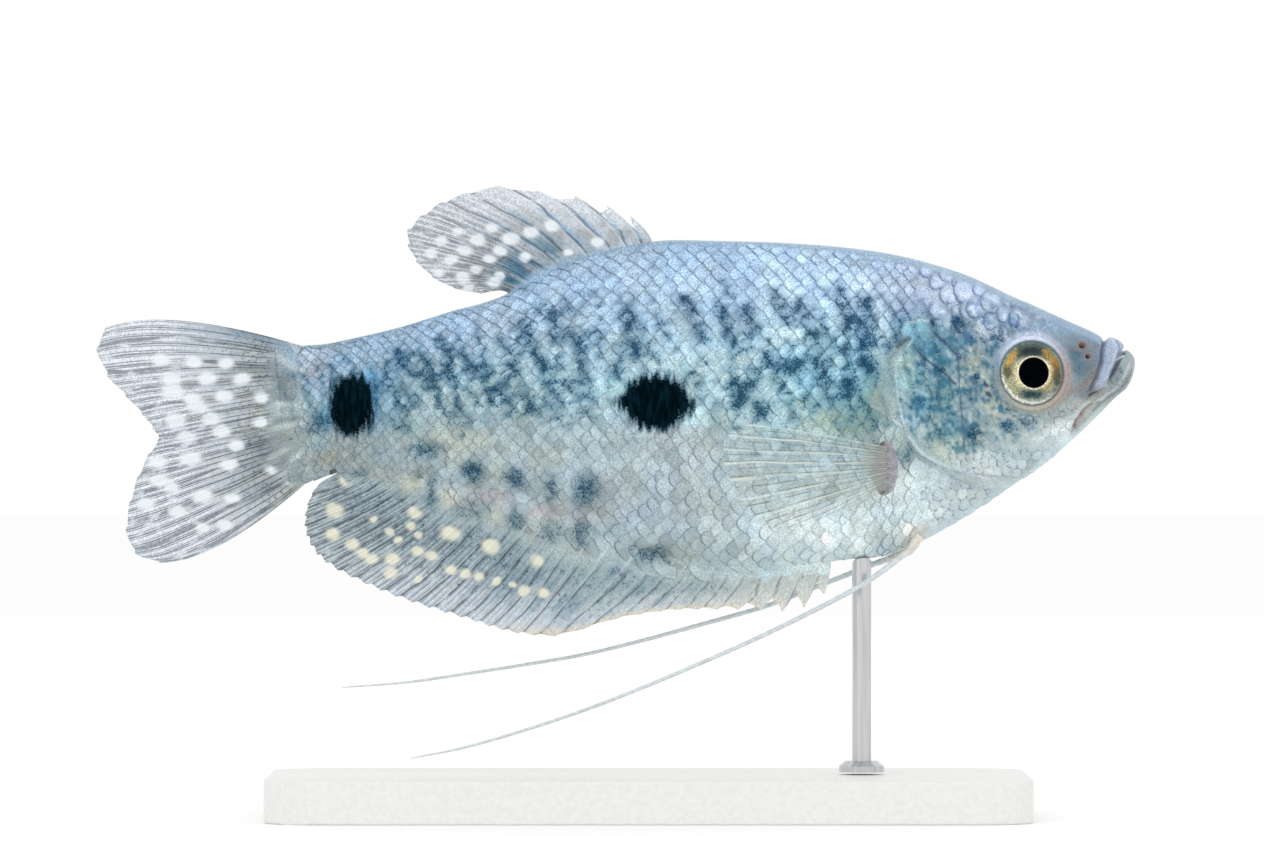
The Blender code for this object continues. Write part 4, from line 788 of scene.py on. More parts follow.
def capped_faces(rings, around):
    """Faces of a closed tube of rings, with a flat cap at each end."""
    faces = grid_faces(rings, around, closed=True).tolist()
    faces.append(list(range(around))[::-1])
    faces.append(list(range((rings - 1) * around, rings * around)))
    return faces


def tinted(colour, patches, x, z):
    """Lays soft patches over a colour given for each point."""
    for place_x, place_z, half_width, half_height, tint, strength in patches:
        share = strength * blob(x, z, place_x, place_z, half_width * MARK_REACH, half_height * MARK_REACH)
        colour = blended(colour, tint, share)
    return colour


def grain(x, z):
    """How strongly the skin is speckled: most on the back, least on the belly and the throat."""
    return level(GRAIN_HEIGHT, body_height(x, z)) * level(GRAIN_ALONG, x)


def body_light(x, height):
    """How light the body is along its length and along its belly, with painted shade that darkens its lower
    head.
    """
    belly = ramp(-height, -0.5, -0.1) * level(LIGHT_BELOW, x)
    # Painted shade: the lower head is drawn darker.
    lower_head_shade = 0.09 * ramp(x, 35.0, 41.0) * ramp(-height, -0.88, -0.66) * ramp(-x, -58.0, -55.0)
    return level(LIGHT_ALONG, x) + belly - lower_head_shade


def tail_streaks(paint, x, z):
    """Pale and dark streaks that spread out towards the tail fin's base."""
    from_fan = np.hypot(x - FAN_CENTRE[0], z - FAN_CENTRE[1])
    turn = np.arctan2(z - FAN_CENTRE[1], FAN_CENTRE[0] - x)
    streak = waves(16 * turn, 0.3 * from_fan, 1.0, 24) * ramp(-x, 35.2, 37.2)
    paint = blended(paint, (206, 216, 216), 0.5 * ramp(streak, 0.0, 0.6))
    return blended(paint, (112, 124, 130), 0.5 * ramp(-streak, 0.0, 0.6))


def body_paint(x, z, ink):
    """The colour of the body's side at x and z, with the soft blue round its dark marks."""
    height = body_height(x, z)
    near_x, near_z = stirred(x, z, 0.9, 0.4, 11)
    paint = tinted(through(BODY_TINTS, height), TINTS, near_x, near_z)
    paint = blended(paint, through(HALO, z), 0.5 * ramp(ink, 0.1, 0.9))
    fine = 0.07 * waves(x, z, 1.0, 22) + 0.06 * waves(x, z, 0.5, 25)
    cloudy = 0.05 * waves(x, z, 2.6, 21) + grain(x, z) * fine
    paint = paint * (1 + cloudy)[:, None] + waves(x, z, 2.2, 23)[:, None] * np.array([5, 1, -5.0])
    paint = paint * body_light(x, height)[:, None]
    return tail_streaks(paint, x, z)


def mottling(x, z):
    """How dark the wavy, nearly upright streaks between the placed marks are."""
    across = x * math.cos(STREAK_LEAN) + z * math.sin(STREAK_LEAN)
    along = x * math.sin(STREAK_LEAN) - z * math.cos(STREAK_LEAN)
    across = across + 0.75 * waves(x, z, 3.2, 41) + 0.25 * waves(x, z, 1.1, 42)
    mottle = 0.6 * np.cos(2 * math.pi * across / STREAK_STEP)
    mottle = mottle + 0.55 * waves(across / 1.3, along / 4.0, 1.0, 43) + 0.3 * waves(x, z, 0.55, 44)
    thick = level(MOTTLE_HEIGHT, body_height(x, z)) * level(MOTTLE_ALONG, x)
    return thick * ramp(mottle, -0.3, 0.65)


def body_ink(x, z):
    """How dark the streaks, the patches and the mottling between them are at x and z."""
    near_x, near_z = stirred(x, z, 0.8, 0.35, 31)
    ink = np.zeros(len(x))
    for half_width, strength, points in STREAKS:
        gap = from_line(near_x, near_z, points)
        ink = np.maximum(ink, strength * bell(gap, STREAK_REACH * half_width))
    ink = ink * (1 + 0.3 * waves(x, z, 0.9, 32))
    for place_x, place_z, half_width, half_height, strength in PATCHES:
        soft = blob(near_x, near_z, place_x, place_z, MARK_REACH * half_width, MARK_REACH * half_height)
        ink = np.maximum(ink, strength * soft)
    return np.maximum(ink, mottling(x, z))


def body_spot(x, z):
    """Above 0 inside the black spots."""
    found = np.full(len(x), -9.0)
    for place_x, place_z, half_width, half_height, point_width, point_height in SPOTS:
        across, up = np.abs(x - place_x), np.abs(z - place_z)
        middle = 1 - ((across / half_width) ** 2.5 + (up / half_height) ** 2.5) ** (1 / 2.5)
        points = 1 - ((across / point_width) ** 1.3 + (up / point_height) ** 1.3) ** (1 / 1.3)
        found = np.maximum(found, np.maximum(middle, points))
    return found


def flap_firm(z):
    """How plain the gill flap's edge is: soft at the top, firm round the bottom."""
    return 0.25 + 0.35 * ramp(-z, -48.5, -43.5)


def membrane_share(x, z):
    """1 on the soft skin that runs on past the gill cover's hard edge."""
    flap, soft = from_line(x, z, FLAP_LINE), from_line(x, z, SOFT_LINE)
    return ramp(soft, -0.05, 0.1) * ramp(-flap, -0.15, 0.1)


def scaled(x, z):
    """1 where scales lie over the skin, 0 on the bare head."""
    behind = ramp(-from_line(x, z, SOFT_REACH), -0.1, 0.7)
    nape = ramp(z - level(NAPE_LINE, x), 0.0, 0.8)
    nape = nape * ramp(-x, -35.4, -34.4)
    covered = np.maximum(behind, nape) * ramp(-x, -35.6, -34.6)
    return covered * (1 - edge_strip(x, z)) * ramp(x, -38.2, -35.8)


def cobbles(x, z, pitch):
    """Rounded cells: how far a point is inside its cell, how far ahead of its middle, and the cell's tone."""
    draw = np.random.default_rng(9)
    cells = (COBBLE_CELLS, COBBLE_CELLS)
    shift, tone = draw.uniform(-0.26, 0.26, (*cells, 2)), draw.uniform(-1, 1, cells)
    u, v = x / pitch + 200, z / (0.86 * pitch) + 200
    i, j = np.floor(u).astype(int), np.floor(v).astype(int)
    first, second = np.full(len(x), 9.0), np.full(len(x), 9.0)
    ahead, own = np.zeros(len(x)), np.zeros(len(x))
    for di in (-1, 0, 1):
        for dj in (-1, 0, 1):
            column, row = i + di, j + dj
            a, b = column % COBBLE_CELLS, row % COBBLE_CELLS
            off_u = u - (column + 0.25 + 0.5 * (row % 2) + shift[a, b, 0])
            gap = np.hypot(off_u, v - (row + 0.5 + shift[a, b, 1]))
            nearer = gap < first
            second = np.where(nearer, first, np.minimum(second, gap))
            ahead, own = np.where(nearer, off_u, ahead), np.where(nearer, tone[a, b], own)
            first = np.minimum(first, gap)
    return (second - first) * pitch, ahead, own


def round_scales(x, z, found):
    """Lays the nape's rounded scales over the height, dark edge and tone found so far."""
    near_x, near_z = stirred(x, z, 0.9, 0.16, 91)
    for place_x, place_z, radius in NAPE_SCALES:
        across, up = near_x - place_x, near_z - place_z
        gap = np.hypot(across, up)
        rear = ramp(-(0.85 * across + 0.45 * up) / np.maximum(gap, 0.01), -0.35, 0.5)
        dark = 1.3 * bell(radius - gap, 0.17) * rear
        cell = np.stack([0.1 + 0.16 * (1 - (gap / radius) ** 2), dark, 1.6 - 1.6 * (gap / radius) ** 3])
        found = found + (cell - found) * ramp(radius - gap, -0.04, 0.06)
    return found


def head_cobbles(x, z):
    """Height, dark edge and tone of the head's rounded scales."""
    found = np.zeros((3, len(x)))
    for pitch, place_x, place_z, half_width, half_height in COBBLES:
        inside, ahead, tone = cobbles(x, z, pitch)
        here = ramp(blob(x, z, place_x, place_z, half_width, half_height), 0.25, 0.6)
        dark = bell(inside, 0.1 * pitch) * ramp(-ahead, -0.2, 0.3)
        cell = np.stack([0.09 * pitch * ramp(inside, 0, 0.5 * pitch), dark, tone])
        found = found + (cell - found) * here
    found = round_scales(x, z, found)
    return found * (1 - scaled(x, z)) * ramp(from_eye(x, z), 4.5, 5.2)


def relief(x, z):
    """How far the skin stands out from the smooth body."""
    inward = ramp(edge_z(x, BACK) - z, 0.1, 1.0)
    out = -COAT * scaled(x, z) + tail_taper(x) + inward * head_cobbles(x, z)[0]
    flap = from_line(x, z, FLAP_LINE)
    soft = from_line(x, z, SOFT_LINE)
    near = np.exp(-np.clip(flap, 0, None) / FLAP_FADE)
    out = out + FLAP_PROUD * flap_firm(z) * ramp(flap, -0.12, 0.12) * near
    out = out + SOFT_PROUD * ramp(soft, -0.12, 0.2) * np.exp(-np.clip(soft, 0, None) / FLAP_FADE)
    for line, depth, half_width in GROOVES:
        out = out - depth * bell(from_line(x, z, smooth_line(line)), half_width)
    lip = from_line(x, z, smooth_line(LIP_REAR))
    out = out + 0.3 * ramp(lip, 0.05, 0.7) * ramp(z, 48.6, 50.0)
    for place_x, place_z, radius in NOSTRILS:
        gap = np.hypot(x - place_x, z - place_z)
        out = out + 0.2 * bell(gap - radius * 1.3, 0.2) - 0.6 * bell(gap, radius)
    out = out + 0.55 * ramp(blob(x, z, *PECTORAL_LOBE), 0.1, 0.7)
    eye = from_eye(x, z)
    out = out + 0.2 * bell(eye - 4.4, 0.9)
    return out - 1.6 * ramp(-eye, -4.05, -3.75)


def skin_stations():
    """Places of the skin's rings, closer together in the head."""
    fine = np.linspace(0, LAST_CHORD, LAST_CHORD * 200 + 1)
    chords = through(numbered(BODY_CHORDS), fine)
    back = np.linalg.norm(np.diff(chords[:, 0:2], axis=0), axis=1)
    belly = np.linalg.norm(np.diff(chords[:, 2:4], axis=0), axis=1)
    step = level([(28.0, BODY_STEP), (32.0, HEAD_STEP)], chords[1:, 0])
    count = np.concatenate([[0], np.cumsum(np.maximum(back, belly) / step)])
    return np.interp(np.linspace(0, count[-1], int(count[-1]) + 1), count, fine)


def flecked(paint, x, z):
    """Small dark teal and cream flecks over the gill cover and the cheek."""
    fleck = 0.4 * waves(x, z, 1.1, 101) + 0.4 * waves(x, z, 0.5, 102) + 0.4 * waves(x, z, 0.3, 103)
    where = ramp(blob(x, z, 40.5, 49.5, 9.0, 8.0), 0.25, 0.6)
    paint = blended(paint, (44, 104, 128), 0.85 * where * ramp(-fleck, 0.0, 0.55))
    paint = blended(paint, (216, 226, 214), 0.5 * where * ramp(fleck, 0.05, 0.6))
    above = ramp(blob(x, z, 44.0, 58.0, 8.0, 3.4), 0.25, 0.6)
    paint = blended(paint, (84, 112, 160), 0.5 * above * ramp(-fleck, 0.04, 0.5))
    return blended(paint, (214, 222, 240), 0.5 * above * ramp(fleck, 0.08, 0.5))


def lobe_paint(paint, x, z):
    """The fleshy lobe that the pectoral fin grows from, dark at its top and bottom, with painted light on its
    front side.
    """
    lobe = ramp(blob(x, z, *PECTORAL_LOBE), 0.1, 0.5)
    # Painted light on the lobe's front side.
    light = ramp(x, PECTORAL_LOBE[0] - 0.4, PECTORAL_LOBE[0] + 0.8)
    paint = blended(paint, (140, 132, 138), 0.8 * lobe)
    paint = blended(paint, (164, 164, 180), 0.6 * lobe * light)
    paint = paint * (1 + 0.12 * lobe * waves(x / 3.0, z, 0.3, 64))[:, None]
    for dark_z in (43.4, 37.9):
        spot = blob(x, z, PECTORAL_LOBE[0] - 0.5, dark_z, 0.5, 0.5)
        paint = blended(paint, (70, 56, 60), 0.8 * spot)
    return paint


def mouth_paint(paint, x, z):
    """The upper lip and the lower jaw."""
    lip = ramp(from_line(x, z, smooth_line(LIP_REAR)), 0.05, 0.3) * ramp(z, 49.4, 50.4)
    jaw = ramp(-from_line(x, z, smooth_line(MOUTH_LINE)), -0.1, 0.1) * ramp(x, 54.0, 57.6)
    paint = blended(paint, (168, 184, 208), 0.75 * lip * (1 - jaw))
    return blended(paint, (150, 158, 156), 0.65 * jaw)


def flap_paint(paint, x, z):
    """Painted shadow just outside the gill flap's hard edge and its soft edge, a painted highlight just
    inside the hard edge, and streaks down the jaw.
    """
    flap, soft = from_line(x, z, FLAP_LINE), from_line(x, z, SOFT_LINE)
    rear = ramp(-x, -44.0, -38.0)
    rear = rear * (0.7 + 0.6 * waves(x, z, 1.6, 62)) * flap_firm(z)
    # Painted shadow just outside the flap's hard edge, then a painted highlight just inside it.
    paint = blended(paint, (72, 98, 114), 0.9 * rear * bell(flap + 0.2, 0.17))
    paint = blended(paint, (212, 236, 240), 1.1 * rear * bell(flap - 0.14, 0.15))
    # Painted shadow just outside the soft skin's edge.
    paint = blended(paint, (96, 112, 120), 0.6 * rear * bell(soft + 0.14, 0.15))
    down_jaw = waves(0.75 * z - 0.66 * x, 0.2 * (0.66 * z + 0.75 * x), 0.34, 63)
    return paint * (1 + 0.12 * down_jaw * blob(x, z, 52.5, 46.5, 6.5, 4.5))[:, None]


def rim_paint(angle):
    return through(RIM_GROUND, angle)


def socket_paint(paint, x, z):
    """Pale skin over the eye, brownish skin before and below it, and painted shade behind it."""
    ring = bell(from_eye(x, z) - 4.35, 0.4)
    angle = np.degrees(np.arctan2(z - EYE_PLACE[1], x - EYE_PLACE[0])) % 360
    return blended(paint, rim_paint(angle), 0.8 * ring)


def skin_paint(x, z, ink):
    paint = flecked(body_paint(x, z, ink), x, z)
    dark, tone = head_cobbles(x, z)[1:]
    paint = paint * (1 + 0.07 * tone)[:, None]
    paint = blended(paint, (62, 88, 130), np.clip(0.7 * dark, 0, 0.92))
    paint = blended(paint, (150, 176, 198), 0.75 * edge_strip(x, z) * ramp(x, -14.0, -6.0))
    under = ramp(edge_z(x, BELLY) + 1.0 - z, -0.2, 0.5) * ramp(x, 14.0, 26.0)
    paint = blended(paint, (190, 216, 220), 0.5 * under)
    paint = lobe_paint(paint, x, z)
    grey = np.array([168, 182, 182.0]) * (1 + 0.08 * waves(x, z, 1.2, 51))[:, None]
    paint = blended(paint, grey, 0.45 * membrane_share(x, z))
    paint = flap_paint(mouth_paint(paint, x, z), x, z)
    # The head's fine lines, with painted shade in grooves and the mouth and painted highlights along the flap
    # and the upper lip.
    near_x, near_z = stirred(x, z, 0.5, 0.08, 61)
    for colour, strength, half_width, points in FINE_LINES:
        gap = from_line(near_x, near_z, smooth_line(points))
        paint = blended(paint, colour, strength * bell(gap, 1.2 * half_width))
    for place_x, place_z, radius in NOSTRILS:
        gap = np.hypot(x - place_x, z - place_z)
        # A reddish ring round each nostril, and painted shade in its hole.
        for colour, reach in (((168, 132, 124), 1.8), ((66, 50, 54), 0.8)):
            paint = blended(paint, colour, 0.85 * bell(gap, radius * reach))
    return socket_paint(paint, x, z)


def add_skin(look):
    """One closed skin from the tail's base to the lips."""
    stations = skin_stations()
    down = np.linspace(0, 1, SKIN_SIDE + 1)
    shares = np.concatenate([down, down[-2:0:-1]])
    sides = np.concatenate([np.full(SKIN_SIDE + 1, RIGHT), np.full(SKIN_SIDE - 1, LEFT)])
    place, facing = surface(stations[:, None], shares[None], sides[None])
    place, facing = place.reshape(-1, 3), facing.reshape(-1, 3)
    x, z = place[:, 0], place[:, 2]
    points = place + facing * relief(x, z)[:, None]
    ink = body_ink(x, z) * ramp(from_eye(x, z), 4.0, 4.6)
    ink = ink * (1 - 0.4 * membrane_share(x, z))
    values = {
        "paint": srgb(skin_paint(x, z, ink)),
        "ink": ink,
        "spot": body_spot(x, z),
        "grain": grain(x, z),
        "edge": np.zeros(len(x)),
        "rim": np.zeros(len(x)),
    }
    add_piece("skin", points, capped_faces(len(stations), len(shares)), look, "skin", FLESH, **values)


def hide(x, station, share, side):
    """Points of the scaled surface, which runs out over the base of the anal fin past the belly's edge."""
    finned = ramp(-x, -22.5, -20.5)
    place, facing = surface(station, np.where(finned > 0, np.minimum(share, 1), share), side)
    past = np.where(finned > 0, np.maximum(share - 1, 0), 0) * np.interp(x, MIDDLES, GIRTH)
    place[..., 2] -= past
    low = finned * ramp(share, 0.9, 0.99)
    outside = np.maximum(np.abs(place[..., 1]), FIN_SKIN - 0.06 * past)
    place[..., 1] = side * (np.abs(place[..., 1]) * (1 - low) + outside * low)
    facing[..., 1] += side * 4 * low
    return place, facing / np.linalg.norm(facing, axis=-1)[..., None]


def scale_places(draw):
    """Station, share and side of each scale's tip, with the pitch and row spacing there."""
    fine = np.linspace(MIDDLES[0] + 0.6, COAT_FRONT, 4000)
    pitch = level(SCALE_PITCH, fine)
    count = np.concatenate([[0], np.cumsum(np.diff(fine) / pitch[1:])])
    girth = np.interp(fine, MIDDLES, GIRTH)
    row_step = SCALE_ROW * (girth / GIRTH.max()) ** 0.55
    places = []
    for row in range(-SCALE_ROWS, SCALE_ROWS + 1):
        columns = np.arange(0, count[-1], 1.0) + 0.5 * (row % 2)
        columns = columns + SCALE_JITTER * draw.normal(0, 1, len(columns))
        x = np.interp(columns, count, fine)
        step = np.interp(x, fine, row_step)
        around = np.interp(x, fine, girth)
        down = ROW_START * around + (row + SCALE_JITTER * draw.normal(0, 1, len(x))) * step
        share = down / around
        depth = level(ANAL_SCALED, x)
        deepest = 0.996 + (depth - draw.uniform(0, 1, len(x)) * np.minimum(depth, 1.4)) / around
        keep = (share > 0.004) & (share < deepest)
        places.append(np.stack([x, share, np.interp(x, fine, pitch), step], 1)[keep])
    return np.concatenate(places)


def margin_strength(height, tone):
    """How dark the scales' rear edges are: plain on the back, broken up on the flank and belly."""
    return np.clip(level(MARGIN_HEIGHT, height) + 0.45 * tone * (1.3 - height), 0.0, 1.0)


def scale_values(flat, height, tone, u, w):
    """What the scales' look reads at their points."""
    shape = (len(height), u.shape[1])
    x, z = flat[:, 0], flat[:, 2]
    flat_ink = body_ink(x, z)
    paint = body_paint(x, z, flat_ink).reshape(*shape, 3)
    glow = np.exp(-(((u - 0.7) / 0.3) ** 2) - (w / 0.6) ** 2)
    paint = paint * (1 + 0.04 * tone[1] + level(BRIGHT_CENTRES, height) * (glow - 0.35))[..., None]
    thick = level(MOTTLE_HEIGHT, height)
    ink = flat_ink.reshape(shape) + thick * (0.09 * tone[1] + 0.06 - 0.25 * glow)
    plain = ramp(waves(x, z, 3.4, 95), -0.5, 0.5).reshape(shape)
    plain = 0.5 + 0.5 * np.maximum(plain, ramp(height, 0.7, 0.95))
    # The rear edges are partly the scales' own dark rims; the lower edge is drawn darker as painted shade
    # under the raised free edge.
    rim = margin_strength(height, tone[2]) * (0.8 + 0.2 * np.sign(w)) * plain
    return {
        "paint": np.clip(srgb(paint.reshape(-1, 3)), 0, 1),
        "ink": ink.ravel(),
        "spot": body_spot(x, z),
        "grain": grain(x, z),
        "edge": (np.where(u > 0.99, 1.0, 0.0) + np.zeros(shape)).ravel(),
        "rim": rim.ravel(),
    }


def plate_faces(side):
    """Faces of one closed plate: its upper side, its lower side and the rim between them."""
    rows, columns = len(ALONG_SCALE), len(ACROSS_SCALE)
    upper = grid_faces(rows, columns)
    lower = grid_faces(rows, columns, rows * columns)[:, ::-1]
    edge = list(range(columns))
    edge += [r * columns + columns - 1 for r in range(1, rows)]
    edge += [(rows - 1) * columns + c for c in range(columns - 2, -1, -1)]
    edge += [r * columns for r in range(rows - 2, 0, -1)]
    edge = np.array(edge)
    after = np.roll(edge, -1)
    rim = np.stack([after, edge, edge + rows * columns, after + rows * columns], 1)
    faces = np.concatenate([upper, lower, rim])
    return faces if side == RIGHT else faces[:, ::-1]


def bake_patches(obj, x, share, side, u, w):
    """Each scale's patch of the bake map, at its place on the unrolled skin."""
    across = share * BELLY_BAKE if side == RIGHT else 1 - share * BELLY_BAKE
    centre_u = (x - BAKE_START) / BAKE_LENGTH
    half = SCALE_BAKE / 2
    patch_u = centre_u[:, None] + half * (1 - 2 * u)
    patch_v = across[:, None] + half * w
    spots = np.stack([np.tile(patch_u, (1, 2)), np.tile(patch_v, (1, 2))], -1).reshape(-1, 2)
    corners = np.empty(len(obj.data.loops), np.int32)
    obj.data.loops.foreach_get("vertex_index", corners)
    layer = obj.data.uv_layers.new(name="OFBake")
    layer.data.foreach_set("uv", spots[corners].astype(np.float32).ravel())


def lay_scales(name, places, tips, side, look, draw):
    """Scales as small overlapping plates. Each lies under the ones ahead of it."""
    x, share, pitch, row = places.T
    count = len(x)
    tone = draw.normal(0, 1, (4, count, 1))
    height = body_height(tips[:, 0], tips[:, 2])[:, None]
    low = ramp(-height, -0.62, -0.42)
    u, w = np.meshgrid(ALONG_SCALE, ACROSS_SCALE, indexing="ij")
    u, w = u.ravel()[None], w.ravel()[None]
    across = (1.25 + 0.06 * tone[3]) * w
    behind = (0.5 - 0.08 * low) * pitch[:, None] * np.abs(across) ** (1.5 + 0.6 * low)
    length = SCALE_LENGTH * pitch[:, None]
    from_tip = behind + (length - behind) * (1 - u) + 0.1 * low * tone[3] * pitch[:, None]
    spread = x[:, None] + from_tip
    spot = share[:, None] + across * row[:, None] / np.interp(x, MIDDLES, GIRTH)[:, None]
    place, facing = hide(spread, np.interp(spread, MIDDLES, CHORD_PLACES), spot, side)
    lift = SCALE_LIFT * (1 + 0.12 * tone[0]) * (1 - from_tip / length)
    lift = lift + 0.03 * (1 - w**2) * u - COAT + 0.01 + tail_taper(place[..., 0])
    points = [place + facing * lift[..., None], place + facing * (lift - SCALE_THICK)[..., None]]
    flat = np.concatenate(points, axis=1).reshape(-1, 3)
    grid = len(ALONG_SCALE) * len(ACROSS_SCALE)
    faces = (2 * grid * np.arange(count)[:, None, None] + plate_faces(side)[None]).reshape(-1, 4)
    values = scale_values(flat, height, tone, np.tile(u, (1, 2)), np.tile(w, (1, 2)))
    obj = add_piece(name, flat, faces, look, "skin", **values)
    bake_patches(obj, x, share, side, u, w)


def add_scales(side, word, look):
    """The scales of one side in two pieces, split at the middle of the body."""
    draw = np.random.default_rng(5 + side)
    places = scale_places(draw)
    tips = hide(places[:, 0], np.interp(places[:, 0], MIDDLES, CHORD_PLACES), places[:, 1], side)[0]
    clear = scaled(tips[:, 0] + 0.4 * places[:, 2], tips[:, 2]) > 0.6
    clear &= tips[:, 0] > COAT_REAR + 1.2 * draw.uniform(-1, 1, len(tips))
    fore = places[:, 0] > SCALE_SPLIT
    for part, chosen in (("fore", clear & fore), ("rear", clear & ~fore)):
        lay_scales(f"scales_{word}_{part}", places[chosen], tips[chosen], side, look, draw)


def shifted(line, distance):
    """The line moved to its left, seen along its direction, by distance."""
    direction = np.gradient(line, axis=0)
    direction /= np.linalg.norm(direction, axis=1)[:, None]
    return line + np.stack([-direction[:, 1], direction[:, 0]], axis=1) * distance


def bent(base, tip, bow, share, reach=0.5):
    """Points of rays that bend to their left, seen from base to tip, in the side view, most at reach."""
    run = tip - base
    length = np.hypot(run[:, 0], run[:, -1])
    aside = np.zeros_like(run)
    aside[:, 0], aside[:, -1] = -run[:, -1] / length, run[:, 0] / length
    middle = base + run * reach + aside * np.broadcast_to(bow, length.shape)[:, None]
    share = share[:, None]
    return (1 - share) ** 2 * base + 2 * share * (1 - share) * middle + share**2 * tip


def middle_patch(table, edge, aside, bow, ray, share):
    """A fin in the middle plane over the back, or under the belly, rooted a little inside the flesh."""
    place, tip_x, tip_z = through(table, ray).T
    base = np.stack([place, edge_z(place, edge) + aside * GAP], 1)
    tip = np.stack([tip_x, tip_z], 1)
    flat = bent(base, tip, bow * np.linalg.norm(tip - base, axis=1), share)
    depth = aside * (GAP + ROOT_DEPTH) * (1 - share) ** 6
    return np.stack([flat[:, 0], np.zeros(len(flat)), flat[:, 1] - depth], 1)


def dorsal_patch(ray, share):
    return middle_patch(DORSAL_RAYS, BACK, 1, -0.05, ray, share)


def anal_patch(ray, share):
    return middle_patch(ANAL_RAYS, BELLY, -1, 0.04, ray, share)


def tail_patch(ray, share):
    place, tip_x, tip_z = through(TAIL_RAYS, ray).T
    line = shifted(smooth_line(TAIL_BASE, 8), -GAP / 2)
    run = np.concatenate([[0], np.cumsum(np.linalg.norm(np.diff(line, axis=0), axis=1))])
    base = np.stack([np.interp(place * run[-1], run, line[:, k]) for k in (0, 1)], 1)
    flat = bent(base, np.stack([tip_x, tip_z], 1), TAIL_BOW * (2 * place - 1) ** 3, share, TAIL_REACH)
    return np.stack([flat[:, 0], TAIL_SWING * share**2, flat[:, 1]], 1)


def pectoral_patch(side):
    """A fin that leaves one side of the body."""
    rays = np.array([row[0] for row in PECTORAL_RAYS], float)
    heights = np.array([row[1] for row in PECTORAL_RAYS], float)
    depths = [side_point(PECTORAL_BASE_X, z, side)[0][1] for z in heights]

    def patch(ray, share):
        base_z, tip_x, tip_z = through(PECTORAL_RAYS, ray).T
        root = np.interp(ray, rays, depths) + side * (GAP + 0.3)
        base = np.stack([np.full(len(root), PECTORAL_BASE_X + 0.6), root, base_z], 1)
        out = PECTORAL_SPREAD * np.hypot(tip_x - PECTORAL_BASE_X, tip_z - base_z)
        tip = np.stack([tip_x, root + side * (out + 0.12 * (tip_z - base_z) + 0.3), tip_z], 1)
        return bent(base, tip, 0.4 * (ray / 4.5 - 1), share)

    return patch


def shortfall(ray, spines, notch):
    """How far the membrane stops short of the tips, deepest just ahead of each hard spine."""
    behind_ray = np.floor(ray)
    part = ray - behind_ray

    def depth(number):
        return np.where(number < spines, notch[0] * bell(number, notch[1]) + 0.04, 0.025)

    behind, ahead = 0.25 * depth(behind_ray), depth(behind_ray + 1)
    between = behind + (ahead - behind) * np.clip((part - 0.2) / 0.6, 0, 1)
    return between * ramp(part, 0.0, 0.2) * ramp(1 - part, 0.0, 0.2)


def ray_ridges(ray, share, spines, branched):
    """Height of the rays, from 0 on the membrane to 1. A soft ray splits twice on its way out."""
    nearest = np.round(ray)
    off = ray - nearest
    whole = bell(off, 0.11)
    if not branched:
        return whole
    first, second = 0.25 * ramp(share, 0.12, 0.95), 0.125 * ramp(share, 0.4, 1.0)
    split = np.zeros_like(ray)
    for a in (-1, 1):
        for b in (-1, 1):
            split = np.maximum(split, bell(off - a * first - b * second, 0.055))
    return np.where(nearest < spines, whole, split)


def fin_sheet(patch, rays, steps, rows, root, spines, notch, branched):
    """A fin's two sides: points, ray number, share of the way out, centre points and height of the rays."""
    numbers = np.linspace(0, rays - 1, (rays - 1) * steps + 1)
    ray, share = np.meshgrid(numbers, np.linspace(0, 1, rows), indexing="ij")
    along = share * (1 - shortfall(ray, spines, notch))
    centre = patch(ray.ravel(), along.ravel()).reshape(*ray.shape, 3)
    ridge = ray_ridges(ray, share, spines, branched)
    rib = RIB_ROOT + (RIB_TIP - RIB_ROOT) * share
    half = SHEET + (rib - SHEET) * ridge
    half = half + np.clip(root - half, 0, None) * bell(share, 0.1)
    half[:, -1] = MARGIN_HALF
    out = np.zeros_like(centre)
    out[..., 1] = half
    return np.concatenate([centre - out, (centre + out)[:, ::-1]], axis=1), ray, share, centre, ridge


def sheet_faces(columns, rows):
    """Faces of a closed sheet: its two sides, and a strip at each end."""
    faces = grid_faces(columns, 2 * rows, closed=True).tolist()
    for first, flip in ((0, 1), (2 * rows * (columns - 1), -1)):
        for r in range(rows - 1):
            far = first + 2 * rows - 1 - r
            faces.append([first + r, first + r + 1, far - 1, far][::flip])
    return faces


def add_fin(
    name, node, slot, look, patch, rays, steps, rows, root, paint, spines=0, notch=(0, 1), branched=False
):
    """A thin closed sheet with raised rays. root is its half thickness where it leaves the flesh."""
    points, ray, share, centre, ridge = fin_sheet(patch, rays, steps, rows, root, spines, notch, branched)
    faces = sheet_faces(len(points), rows)
    values = paint(ray.ravel(), share.ravel(), centre[..., 0].ravel(), centre[..., 2].ravel())
    values.update(ridge=ridge.ravel(), ray=ray.ravel(), along=share.ravel())

    def both(value):
        value = value.reshape(ray.shape + value.shape[1:])
        return np.concatenate([value, value[:, ::-1]], axis=1).reshape((-1,) + value.shape[2:])

    values = {key: both(value) for key, value in values.items()}
    add_piece(name, points.reshape(-1, 3), faces, look, slot, [node], **values)


def spot_cover(x, z, rows, stretch):
    """How deep points lie in the fins' whitish spots."""
    draw = np.random.default_rng(3)
    near_x, near_z = stirred(x, z, 0.6, 0.12, 71)
    found = np.zeros(len(x))
    for half_width, places in rows:
        for place_x, place_z in places:
            size = half_width * draw.uniform(0.9, 1.15)
            found = np.maximum(found, blob(near_x, near_z, place_x, place_z, size, size * stretch))
    return found


